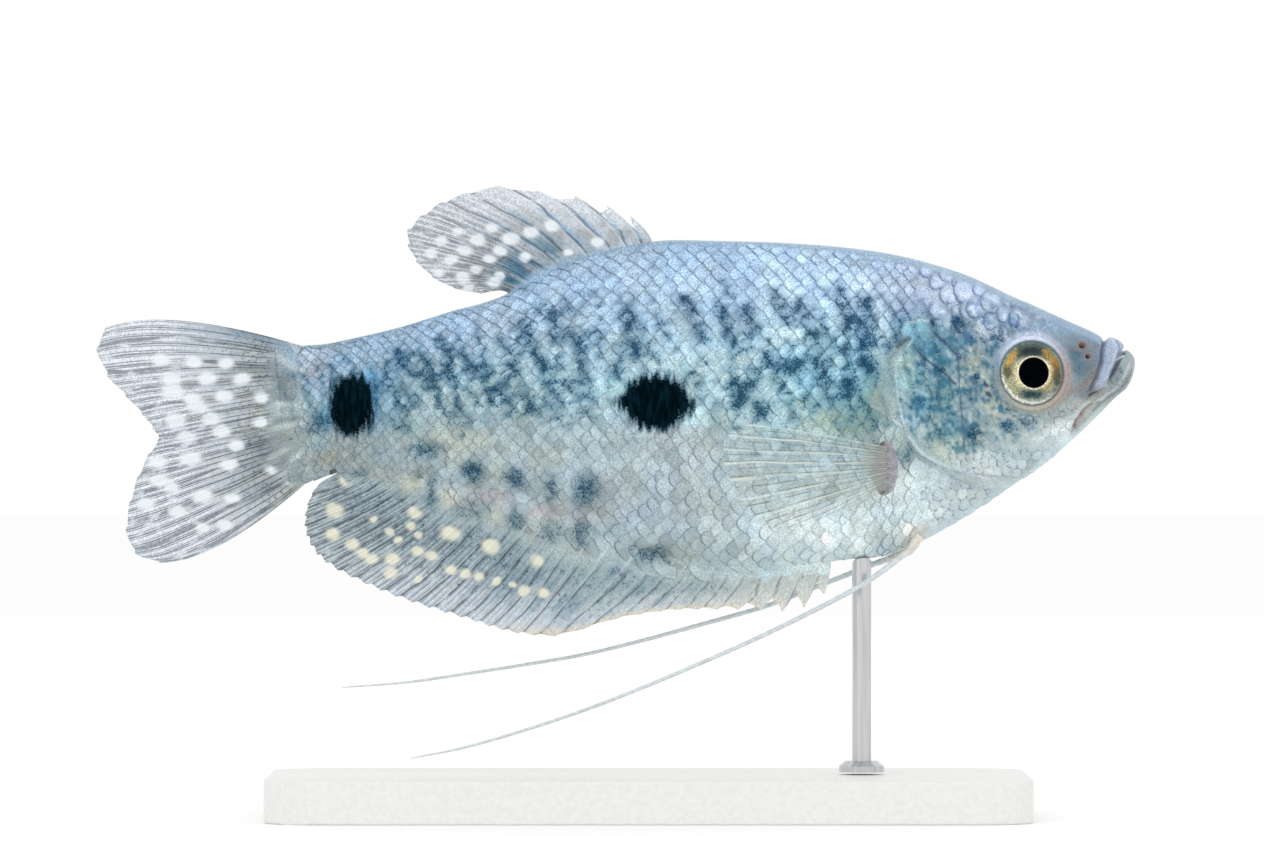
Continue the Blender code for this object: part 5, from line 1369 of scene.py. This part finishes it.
def fin_values(paint, x, z, root, spots, stretch, lines, dense, grainy):
    """What a fin's look reads at its points. root is 1 where the body's own colours still show."""
    ink = body_ink(x, z)
    paint = blended(paint, body_paint(x, z, ink), root)
    cover = spot_cover(x, z, spots, stretch) if spots else np.zeros(len(x))
    return {
        "paint": srgb(np.clip(paint, 0, 255)),
        "ink": np.maximum(ink * root, grainy * (1 - root)),
        "spot": cover * (1 - root) ** 2,
        "lines": lines * (1 - root),
        "dense": dense * (1 - root),
    }


def dorsal_paint(ray, share, x, z):
    paint = blended(through(DORSAL_GROUND, share), (206, 212, 220), 0.6 * ramp(-ray, -6.5, -3.5))
    part = ray - np.floor(ray)
    band = bell(part - 0.78, 0.16) * ramp(-ray, -9.0, -5.0) * ramp(share, 0.05, 0.3)
    paint = blended(paint, (160, 190, 220), 0.75 * band * ramp(-share, -0.85, -0.5))
    streak = ramp(waves(ray * 1.3, share * 2.2, 0.5, 83), 0.0, 0.4) * ramp(-share, -0.42, -0.1)
    paint = blended(paint, (58, 112, 142), 0.75 * (streak * ramp(ray, 3.0, 5.0)))
    grey = 0.42 * ramp(waves(x, z, 1.3, 84), -0.1, 0.5) * ramp(-share, -0.8, -0.3)
    paint = blended(paint, (146, 152, 152), grey)
    lines = level([(0, 0.6), (5, 0.7), (13, 0.7)], ray)
    dense = level([(0, 0.0), (4, 0.1), (7, 0.8), (13, 0.8)], ray) * level([(0, 0.5), (0.3, 1)], share)
    grainy = level([(0, 0.4), (0.5, 0.3), (0.8, 0.0)], share) * level([(0, 0.4), (4, 0.7), (8, 1.0)], ray)
    return fin_values(paint, x, z, ramp(-share, -0.1, -0.02), DORSAL_SPOTS, 0.76, lines, dense, grainy)


def anal_paint(ray, share, x, z):
    paint = blended(through(ANAL_GROUND, share), (208, 212, 204), 0.7 * ramp(-ray, -13.0, -3.0))
    blue = ramp(waves(ray * 1.6, share * 3, 1.0, 85), -0.3, 0.4) * ramp(-ray, -22.0, -16.0)
    blue = blue * ramp(share, 0.2, 0.5) * ramp(ray, 4.0, 9.0)
    paint = blended(paint, (116, 146, 164), 0.4 * blue * ramp(-share, -0.95, -0.75))
    pale = ramp(ray, 10.0, 15.0) * ramp(-ray, -27.0, -22.0) * ramp(share, 0.65, 0.9)
    paint = blended(paint, (212, 222, 234), 0.75 * pale)
    paint = blended(paint, (180, 196, 202), 0.7 * ramp(ray, 22.0, 30.0))
    paint = blended(paint, (222, 212, 190), 0.8 * (ramp(share, 0.86, 1.0) * ramp(-ray, -17.0, -12.0)))
    lines = level([(0, 0.5), (10, 0.6), (20, 0.9), (34, 1.0), (36, 0.3)], ray)
    dense = level([(0, 0.0), (12, 0.15), (18, 0.6), (26, 1.0), (34, 1.0), (36, 0.3)], ray)
    grainy = level([(0, 0.16), (4, 0.3), (12, 0.4), (20, 0.44), (36, 0.42)], ray)
    grainy = grainy * level([(0, 1), (0.6, 0.9), (0.95, 0.4)], share)
    below = edge_z(x, BELLY) - z
    depth = level(ANAL_SCALED, x) + 0.8 + 0.8 * waves(x, z, 1.1, 86)
    root = ramp(-below, -1.3 * depth - 0.9, -0.6 * depth)
    values = fin_values(paint, x, z, root, ANAL_SPOTS, 0.85, lines, dense, grainy)
    values["ink"] = np.maximum(values["ink"], body_ink(x, z) * ramp(-share, -0.7, -0.3))
    return values


def tail_paint(ray, share, x, z):
    paint = through(TAIL_GROUND, share)
    patchy = ramp(waves(ray * 1.4, share * 5, 1.0, 81), -0.1, 0.5) * ramp(-share, -0.45, 0.0)
    paint = blended(paint, (116, 128, 130), 0.55 * patchy)
    creamy = ramp(waves(ray * 1.2, share * 6, 1.0, 82), 0.0, 0.5) * ramp(-share, -0.4, 0.0)
    paint = blended(paint, (206, 204, 184), 0.5 * creamy)
    edge = ramp(-ray, -1.2, 0.0) * ramp(-share, -0.6, -0.1)
    paint = blended(paint, (134, 156, 178), 0.7 * edge)
    dense = level([(0, 0.8), (3, 0.85), (6, 1.0), (12, 0.9)], ray)
    dense = dense * level([(0, 0.5), (0.05, 1), (1, 0.9)], share)
    grainy = level([(0, 0.5), (0.15, 0.42), (0.4, 0.2), (0.7, 0.0)], share)
    root = ramp(-share, -0.13, -0.03)
    return fin_values(paint, x, z, root, TAIL_SPOTS, 0.66, np.full(len(x), 0.75), dense, grainy)


def pectoral_paint(ray, share, x, z):
    none = np.zeros(len(x))
    paint = through(PECTORAL_GROUND, share)
    return fin_values(paint, x, z, none, [], 1.0, none + 0.8, none + 0.25, none)


def add_fins(look, anal_look, clear):
    """All the fins, each with its own count of steps between rays and along them."""
    anal_rays = ANAL_RAYS[-1][0] + 1
    add_fin(
        "dorsal_sail", "dorsal_fin", "fin", look, dorsal_patch, len(DORSAL_RAYS), 18, 44, 0.5,
        dorsal_paint, DORSAL_SPINES, DORSAL_NOTCH, True,
    )
    add_fin(
        "anal_sail", "anal_fin", "fin", anal_look, anal_patch, anal_rays, 10, 52, 0.5,
        anal_paint, ANAL_SPINES, ANAL_NOTCH,
    )
    add_fin(
        "tail_fan", "tail_fin", "fin", look, tail_patch, len(TAIL_RAYS), 22, 54, 0.3,
        tail_paint, branched=True,
    )
    for side, word in SIDES:
        add_fin(
            f"pectoral_blade_{word}", f"pectoral_fin_{word}", "pectoral", clear, pectoral_patch(side),
            len(PECTORAL_RAYS), 14, 34, 0.3, pectoral_paint, branched=True,
        )


def turned(profile, sides, place, axis):
    """Points of rings round an axis. profile is radius and height, from one pole to the other."""
    turn = np.array(Vector(axis).to_track_quat("Z", "Y").to_matrix())
    angle = 2 * math.pi * np.arange(sides) / sides
    profile = np.asarray(profile, float)
    radius, height = profile[:, :1], profile[:, 1:]
    local = np.stack([radius * np.cos(angle), radius * np.sin(angle), height + np.zeros(sides)], -1)
    return local.reshape(-1, 3) @ turn.T + np.asarray(place)


def eye_axis(side):
    """Which way an eye faces."""
    axis = np.array([math.sin(EYE_FORWARD), side * math.cos(EYE_FORWARD), math.sin(EYE_UP)])
    return axis / np.linalg.norm(axis)


def round_eye(points):
    """Angle of points round the eye in the side view, 0 ahead and 90 at the top."""
    return np.degrees(np.arctan2(points[:, 2] - EYE_PLACE[1], points[:, 0] - EYE_PLACE[0])) % 360


def iris_paint(radius, angle):
    across, up = radius * np.cos(np.radians(angle)), radius * np.sin(np.radians(angle))
    angle = angle + 9 * waves(across, up, 0.5, 91)
    wide = radius + 0.14 * waves(across, up, 0.35, 92)
    paint = np.tile([150.0, 158, 146], (len(radius), 1))
    for colour, middle, half_angle, middle_radius, half_width, strength in IRIS:
        off = np.abs((angle - middle + 180) % 360 - 180)
        share = np.exp(-((off / half_angle) ** 4) - (np.abs(wide - middle_radius) / half_width) ** 3)
        paint = blended(paint, colour, strength * share)
    paint = paint * (1 + 0.1 * waves(across, up, 0.16, 93))[:, None]
    paint = blended(paint, (246, 234, 200), bell(radius - PUPIL_RADIUS - 0.07, 0.08))
    return blended(paint, (3, 4, 8), ramp(-radius, -PUPIL_RADIUS - 0.02, -PUPIL_RADIUS + 0.05))


def add_eyeball(word, place, axis, look):
    """A dome whose rings run from its sunk back edge out to its middle."""
    steps = np.linspace(1, 0.004, EYE_RINGS)
    radii = np.concatenate([[EYE_RADIUS * 0.8], EYE_RADIUS * steps])
    heights = np.concatenate([[-EYE_DEPTH], 0.05 + EYE_BULGE * (1 - steps**2)])
    points = turned(np.stack([radii, heights], 1), EYE_SIDES, place, axis)
    radius = np.repeat(radii, EYE_SIDES)
    paint = srgb(iris_paint(radius, round_eye(points)))
    faces = capped_faces(len(radii), EYE_SIDES)
    add_piece(f"eyeball_{word}", points, faces, look, "eye", [f"eye_{word}"], paint=paint, radius=radius)


def add_eye_rim(word, place, axis, look):
    """A closed ring of soft skin round the eye, with painted shade along its inner edge."""
    turn = np.linspace(0, 2 * math.pi, 17)[:-1]
    radii = RIM_RADIUS + 0.4 * np.cos(turn)
    profile = np.stack([radii, -0.12 + (0.26 + 0.14 * np.sin(turn)) * np.sin(turn)], 1)
    points = turned(profile, EYE_SIDES, place, axis)
    faces = grid_faces(len(profile), EYE_SIDES, closed=True).tolist()
    last = (len(profile) - 1) * EYE_SIDES
    for i in range(EYE_SIDES):
        j = (i + 1) % EYE_SIDES
        faces.append([last + i, last + j, j, i])
    # Painted shade in the crease where the ring meets the eyeball.
    rim_crease_shade = np.repeat(ramp(-radii, -3.95, -3.6), EYE_SIDES)
    paint = blended(rim_paint(round_eye(points)), (48, 56, 54), 0.85 * rim_crease_shade)
    add_piece(f"eye_rim_{word}", points, faces, look, "skin", paint=srgb(paint))


def add_eyes(look, rim_look):
    """A domed eye in a soft ring on each side."""
    for side, word in SIDES:
        place, axis = side_point(*EYE_PLACE, side)[0], eye_axis(side)
        add_eyeball(word, place, axis, look)
        add_eye_rim(word, place, axis, rim_look)


def feeler_radii(shares, centres):
    """Half thickness along a feeler, with its fine joints."""
    radii = level(FEELER_PROFILE, shares)
    length = np.concatenate([[0], np.cumsum(np.linalg.norm(np.diff(centres, axis=0), axis=1))])
    return radii * (1 + 0.05 * np.cos(2 * math.pi * length / FEELER_JOINT))


def add_feeler(name, node, route, side, look):
    """A tapering thread with fine joints, rooted in the belly."""
    rings, sides = 240, 14
    shares = np.linspace(0, 1, rings)
    centres = through(numbered(route), shares**1.15 * (len(route) - 1))
    root_z = edge_z(FEELER_ROOT_X, BELLY) + 0.9
    root = np.array([FEELER_ROOT_X, side * FEELER_ROOT_Y * 0.8, root_z])
    centres = centres + (root - centres[0]) * bell(shares, 0.02)[:, None]
    radii = feeler_radii(shares, centres)
    ahead = np.gradient(centres, axis=0)
    ahead /= np.linalg.norm(ahead, axis=1)[:, None]
    up = np.cross([0, 1, 0], ahead)
    up /= np.linalg.norm(up, axis=1)[:, None]
    aside = np.cross(ahead, up)
    angle = 2 * math.pi * np.arange(sides) / sides
    outward = up[:, None] * np.cos(angle)[None, :, None] + aside[:, None] * np.sin(angle)[None, :, None]
    points = (centres[:, None] + outward * radii[:, None, None]).reshape(-1, 3)
    paint = srgb(np.repeat(through(FEELER_GROUND, shares), sides, axis=0))
    add_piece(name, points, capped_faces(rings, sides), look, "feeler", [node], paint=paint)


class Look:
    """A material, built up with short calls that each give a socket."""

    def __init__(self, name, **sockets):
        self.material = bpy.data.materials.new(name)
        self.material.use_nodes = True
        self.nodes = self.material.node_tree.nodes
        self.links = self.material.node_tree.links
        self.shader = self.nodes["Principled BSDF"]
        for key, value in sockets.items():
            self.shader.inputs[key.replace("_", " ")].default_value = value

    def feed(self, socket, value):
        if isinstance(value, bpy.types.NodeSocket):
            self.links.new(value, socket)
        elif isinstance(value, tuple):
            socket.default_value = (*value, 1.0)
        else:
            socket.default_value = value

    def attribute(self, name, output="Fac"):
        node = self.nodes.new("ShaderNodeAttribute")
        node.attribute_name = name
        return node.outputs[output]

    def math(self, operation, a, b=0.0):
        node = self.nodes.new("ShaderNodeMath")
        node.operation = operation
        self.feed(node.inputs[0], a)
        self.feed(node.inputs[1], b)
        return node.outputs[0]

    def plus(self, a, b):
        return self.math("ADD", a, b)

    def times(self, a, b):
        return self.math("MULTIPLY", a, b)

    def swing(self, noise, amount):
        """Noise as values to both sides of 0."""
        return self.times(self.math("SUBTRACT", noise, 0.5), amount)

    def painted(self, flecks):
        """The painted colour, made darker and lighter by flecks."""
        return self.mix(1.0, self.attribute("paint", "Color"), flecks, "MULTIPLY")

    def mix(self, share, a, b, blend="MIX"):
        node = self.nodes.new("ShaderNodeMix")
        node.data_type = "RGBA"
        node.blend_type = blend
        self.feed(node.inputs[0], share)
        self.feed(node.inputs[6], a)
        self.feed(node.inputs[7], b)
        return node.outputs[2]

    def ramp(self, value, low, high, start=0.0, end=1.0):
        node = self.nodes.new("ShaderNodeMapRange")
        node.interpolation_type = "SMOOTHSTEP"
        for socket, number in zip(node.inputs, (value, low, high, start, end)):
            self.feed(socket, number)
        return node.outputs[0]

    def place(self, stretch=(1.0, 1.0, 1.0)):
        """The point's place in the part, stretched for a pattern that runs one way."""
        node = self.nodes.new("ShaderNodeMapping")
        node.inputs["Scale"].default_value = stretch
        self.links.new(self.nodes.new("ShaderNodeTexCoord").outputs["Object"], node.inputs["Vector"])
        return node.outputs[0]

    def noise(self, size, detail=1.0, stretch=(1.0, 1.0, 1.0)):
        """Noise whose grains are about size millimetres wide."""
        node = self.nodes.new("ShaderNodeTexNoise")
        node.inputs["Scale"].default_value = 1 / (size * MM)
        node.inputs["Detail"].default_value = detail
        self.links.new(self.place(stretch), node.inputs["Vector"])
        return node.outputs[0]

    def striae(self, lines, breaks):
        """Noise drawn out along a fin's rays: how many lines to a ray, and breaks to a ray's length."""
        place = self.nodes.new("ShaderNodeCombineXYZ")
        self.feed(place.inputs[0], self.times(self.attribute("ray"), lines))
        self.feed(place.inputs[1], self.times(self.attribute("along"), breaks))
        node = self.nodes.new("ShaderNodeTexNoise")
        node.inputs["Scale"].default_value = 1.0
        node.inputs["Detail"].default_value = 1.5
        self.links.new(place.outputs[0], node.inputs["Vector"])
        return node.outputs[0]

    def bump(self, height, depth):
        """Small relief of the given depth in millimetres."""
        node = self.nodes.new("ShaderNodeBump")
        node.inputs["Distance"].default_value = depth * MM
        self.feed(node.inputs["Height"], height)
        self.links.new(node.outputs[0], self.shader.inputs["Normal"])

    def colour(self, value):
        self.feed(self.shader.inputs["Base Color"], value)
        return self.material


def inked(look, colour, fine, coarse):
    """Lays the grainy dark marks over a colour. Returns it with how dark it is."""
    flecks = look.plus(look.swing(fine, 2.0), look.swing(coarse, 0.9))
    ink = look.attribute("ink")
    dark = look.ramp(look.plus(ink, flecks), 0.12, 1.12, 0.0, 0.95)
    dark = look.times(dark, look.ramp(ink, 0.0, 0.3))
    return look.mix(dark, colour, solid(*INK)), dark


def threads(look, count, shift, thin):
    """Thin lines along a fin's rays, so many to each ray, that fade here and there."""
    turn = look.plus(look.times(look.attribute("ray"), float(count)), shift)
    turn = look.plus(turn, look.times(look.striae(0.6, 2.0), 0.8))
    off = look.math("ABSOLUTE", look.math("SUBTRACT", look.math("FRACT", turn), 0.5))
    faded = look.ramp(look.striae(3.1, 7.0), 0.3, 0.5, 0.25, 1.0)
    return look.times(look.ramp(off, thin, 2.2 * thin, 1.0, 0.0), faded)


def hide_look():
    """Satin skin and scales: painted ground, grainy dark marks and the scales' dark rear edges, partly their
    own dark rims and partly painted shade under their free edges.
    """
    look = Look("scaled_hide", Roughness=0.45)
    fine, coarse = look.noise(0.19, 1.0), look.noise(0.6, 2.0)
    fine_speckle = look.ramp(fine, 0.32, 0.68, -0.32, 0.27)
    speckle = look.plus(fine_speckle, look.ramp(coarse, 0.3, 0.7, -0.07, 0.05))
    speckle = look.plus(look.times(speckle, look.attribute("grain")), 1.0)
    colour = look.painted(speckle)
    margin = look.times(look.ramp(look.attribute("edge"), 0.4, 0.9), look.attribute("rim"))
    colour = look.mix(look.times(margin, 0.8), colour, solid(*MARGIN))
    colour, dark = inked(look, colour, fine, coarse)
    upright = look.noise(0.8, 1.5, (1.6, 1.0, 0.35))
    ragged = look.plus(look.swing(upright, 0.75), look.swing(fine, 0.4))
    spot = look.plus(look.attribute("spot"), ragged)
    colour = look.mix(look.ramp(spot, -0.16, 0.08, 0.0, 0.75), colour, solid(18, 74, 98))
    black = look.ramp(spot, 0.0, 0.2)
    deep = look.mix(look.ramp(upright, 0.42, 0.7), solid(3, 14, 20), solid(8, 30, 40))
    colour = look.mix(black, colour, deep)
    gloss = look.ramp(look.math("MAXIMUM", black, dark), 0.0, 1.0, 0.35, 0.0)
    look.feed(look.shader.inputs["Specular IOR Level"], gloss)
    look.bump(fine, 0.02)
    return look.colour(colour)


def fin_look(name, spot_colour, clear_spots=0.92):
    """Membrane with fine dark lines along its rays and soft pale spots."""
    look = Look(name, Roughness=0.5, Specular_IOR_Level=0.2)
    fine, coarse = look.noise(0.22, 1.5), look.noise(0.6, 2.0)
    flecks = look.ramp(fine, 0.34, 0.66, 0.8, 1.18)
    colour = look.painted(flecks)
    colour = inked(look, colour, fine, coarse)[0]
    rays = look.ramp(look.attribute("ridge"), 0.55, 0.95, 0.0, 0.3)
    colour = look.mix(rays, colour, solid(222, 228, 230))
    line = look.times(threads(look, 1, 0.3, 0.045), look.attribute("lines"))
    far = look.ramp(look.attribute("along"), 0.3, 0.5, 0.0, 0.85)
    outer = look.times(threads(look, 6, 0.6, 0.08), far)
    finer = look.math("MAXIMUM", threads(look, 3, 0.1, 0.055), outer)
    line = look.math("MAXIMUM", line, look.times(finer, look.attribute("dense")))
    colour = look.mix(look.times(line, 0.85), colour, solid(50, 62, 74))
    soft = look.plus(look.attribute("spot"), look.swing(fine, 0.25))
    colour = look.mix(look.ramp(soft, 0.14, 0.74, 0.0, clear_spots), colour, solid(*spot_colour))
    look.bump(look.plus(fine, line), 0.02)
    return look.colour(colour)


def clear_look():
    """Clear membrane with pale rays, each with a thin tan line beside it."""
    look = Look("clear_membrane", Roughness=0.4, Specular_IOR_Level=0.2)
    pale, tan = threads(look, 1, 0.0, 0.04), threads(look, 2, 0.2, 0.05)
    colour = look.mix(look.times(tan, 0.9), look.attribute("paint", "Color"), solid(116, 122, 116))
    colour = look.mix(look.times(pale, 0.8), colour, solid(230, 236, 226))
    cover = look.math("MAXIMUM", look.times(pale, 0.4), look.times(tan, 0.42))
    near = look.ramp(look.attribute("along"), 0.0, 0.25, 0.4, 0.0)
    look.feed(look.shader.inputs["Alpha"], look.math("MAXIMUM", look.plus(cover, 0.07), near))
    look.bump(pale, 0.02)
    return look.colour(colour)


def eye_look():
    """A painted eye with fine flecks. Its pupil has no gloss, so it stays black."""
    look = Look("wet_eye", Roughness=0.25)
    fine = look.noise(0.2, 1.0)
    flecks = look.ramp(fine, 0.33, 0.67, 0.68, 1.3)
    gloss = look.ramp(look.attribute("radius"), 1.6, 1.9, 0.0, 0.3)
    look.feed(look.shader.inputs["Specular IOR Level"], gloss)
    return look.colour(look.painted(flecks))


def plain_look(name, fleck_size, low, high, **sockets):
    """Painted skin with fine flecks."""
    look = Look(name, **sockets)
    fleck = look.noise(fleck_size, 1.0)
    look.bump(fleck, 0.015)
    flecks = look.ramp(fleck, 0.25, 0.8, low, high)
    return look.colour(look.painted(flecks))


def stand_looks():
    """Speckled off-white plastic for the base and brushed metal for the rod."""
    base = Look("stand_plastic", Roughness=0.5)
    speck = base.noise(0.6, 3.0)
    base.bump(base.noise(0.35, 2.0), 0.01)
    base.feed(base.shader.inputs["Roughness"], base.ramp(speck, 0.2, 0.8, 0.42, 0.58))
    base.colour(base.mix(base.ramp(speck, 0.3, 0.7), solid(232, 232, 229), solid(226, 226, 223)))
    rod = Look("brushed_steel", Metallic=1.0, Roughness=0.3)
    brush = rod.noise(0.5, 3.0, (1.0, 1.0, 0.04))
    rod.feed(rod.shader.inputs["Roughness"], rod.ramp(brush, 0.2, 0.8, 0.22, 0.42))
    rod.bump(brush, 0.01)
    rod.colour(rod.mix(rod.ramp(brush, 0.3, 0.7), solid(206, 207, 208), solid(188, 190, 192)))
    for node, look in (("stand_base", base), ("stand_rod", rod)):
        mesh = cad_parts[node].data
        mesh.materials.clear()
        mesh.materials.append(look.material)


def add_floor():
    """A wide pale floor."""
    reach, sides = 4.0, 64
    angle = 2 * math.pi * np.arange(sides) / sides
    mesh = bpy.data.meshes.new("floor")
    points = [(reach * math.cos(a), reach * math.sin(a), 0.0) for a in angle]
    mesh.from_pydata(points, [], [list(range(sides))])
    look = Look("pale_floor", Roughness=1.0, Specular_IOR_Level=0.0)
    look.colour(look.mix(look.noise(20.0, 2.0), solid(252, 252, 252), solid(253, 253, 253)))
    mesh.materials.append(look.material)
    floor = bpy.data.objects.new("floor", mesh)
    bpy.context.scene.collection.objects.link(floor)


def add_lamp(name, place, size, power):
    """A soft square lamp aimed at the fish."""
    lamp = bpy.data.lights.new(name, "AREA")
    lamp.size = size
    lamp.energy = power
    obj = bpy.data.objects.new(name, lamp)
    obj.location = place
    obj.rotation_euler = (Vector((0, 0, 0.048)) - Vector(place)).to_track_quat("-Z", "Y").to_euler()
    bpy.context.scene.collection.objects.link(obj)


def add_light():
    """White surroundings and three soft lamps."""
    world = bpy.data.worlds.new("pale_studio")
    world.use_nodes = True
    sky = world.node_tree.nodes["Background"]
    sky.inputs["Color"].default_value = (1.0, 1.0, 1.0, 1.0)
    sky.inputs["Strength"].default_value = 1.0
    bpy.context.scene.world = world
    add_lamp("front_lamp", (-0.3, -0.9, 0.6), 0.6, 1.4)
    add_lamp("side_lamp", (0.7, -0.5, 0.3), 0.5, 0.3)
    add_lamp("rear_lamp", (0.1, 0.9, 0.6), 0.7, 0.6)


def add_camera():
    """The photo's view: square to the fish's side, at the height of its middle."""
    camera = bpy.data.cameras.new("camera")
    camera.lens = camera.sensor_width * VIEW_DISTANCE / VIEW_WIDTH
    camera.clip_start = 0.05
    obj = bpy.data.objects.new("camera", camera)
    obj.location = Vector((VIEW_CENTRE[0], -VIEW_DISTANCE, VIEW_CENTRE[1])) * MM
    obj.rotation_euler = (math.radians(90), 0, 0)
    bpy.context.scene.collection.objects.link(obj)
    bpy.context.scene.camera = obj


def main():
    bpy.context.scene.view_settings.view_transform = "Standard"
    add_camera()
    add_light()
    add_floor()
    hide_skin = hide_look()
    add_skin(hide_skin)
    for side, word in SIDES:
        add_scales(side, word, hide_skin)
    membrane = fin_look("fin_membrane", (230, 237, 241))
    add_fins(membrane, fin_look("anal_membrane", (238, 236, 214), 0.8), clear_look())
    add_eyes(eye_look(), plain_look("eye_rim_skin", 0.25, 0.85, 1.12, Roughness=0.4))
    feeler = plain_look("feeler_skin", 0.5, 0.85, 1.1, Roughness=0.45)
    add_feeler("feeler_right", "pelvic_feeler_right", RIGHT_FEELER, RIGHT, feeler)
    add_feeler("feeler_left", "pelvic_feeler_left", LEFT_FEELER, LEFT, feeler)
    stand_looks()


main()
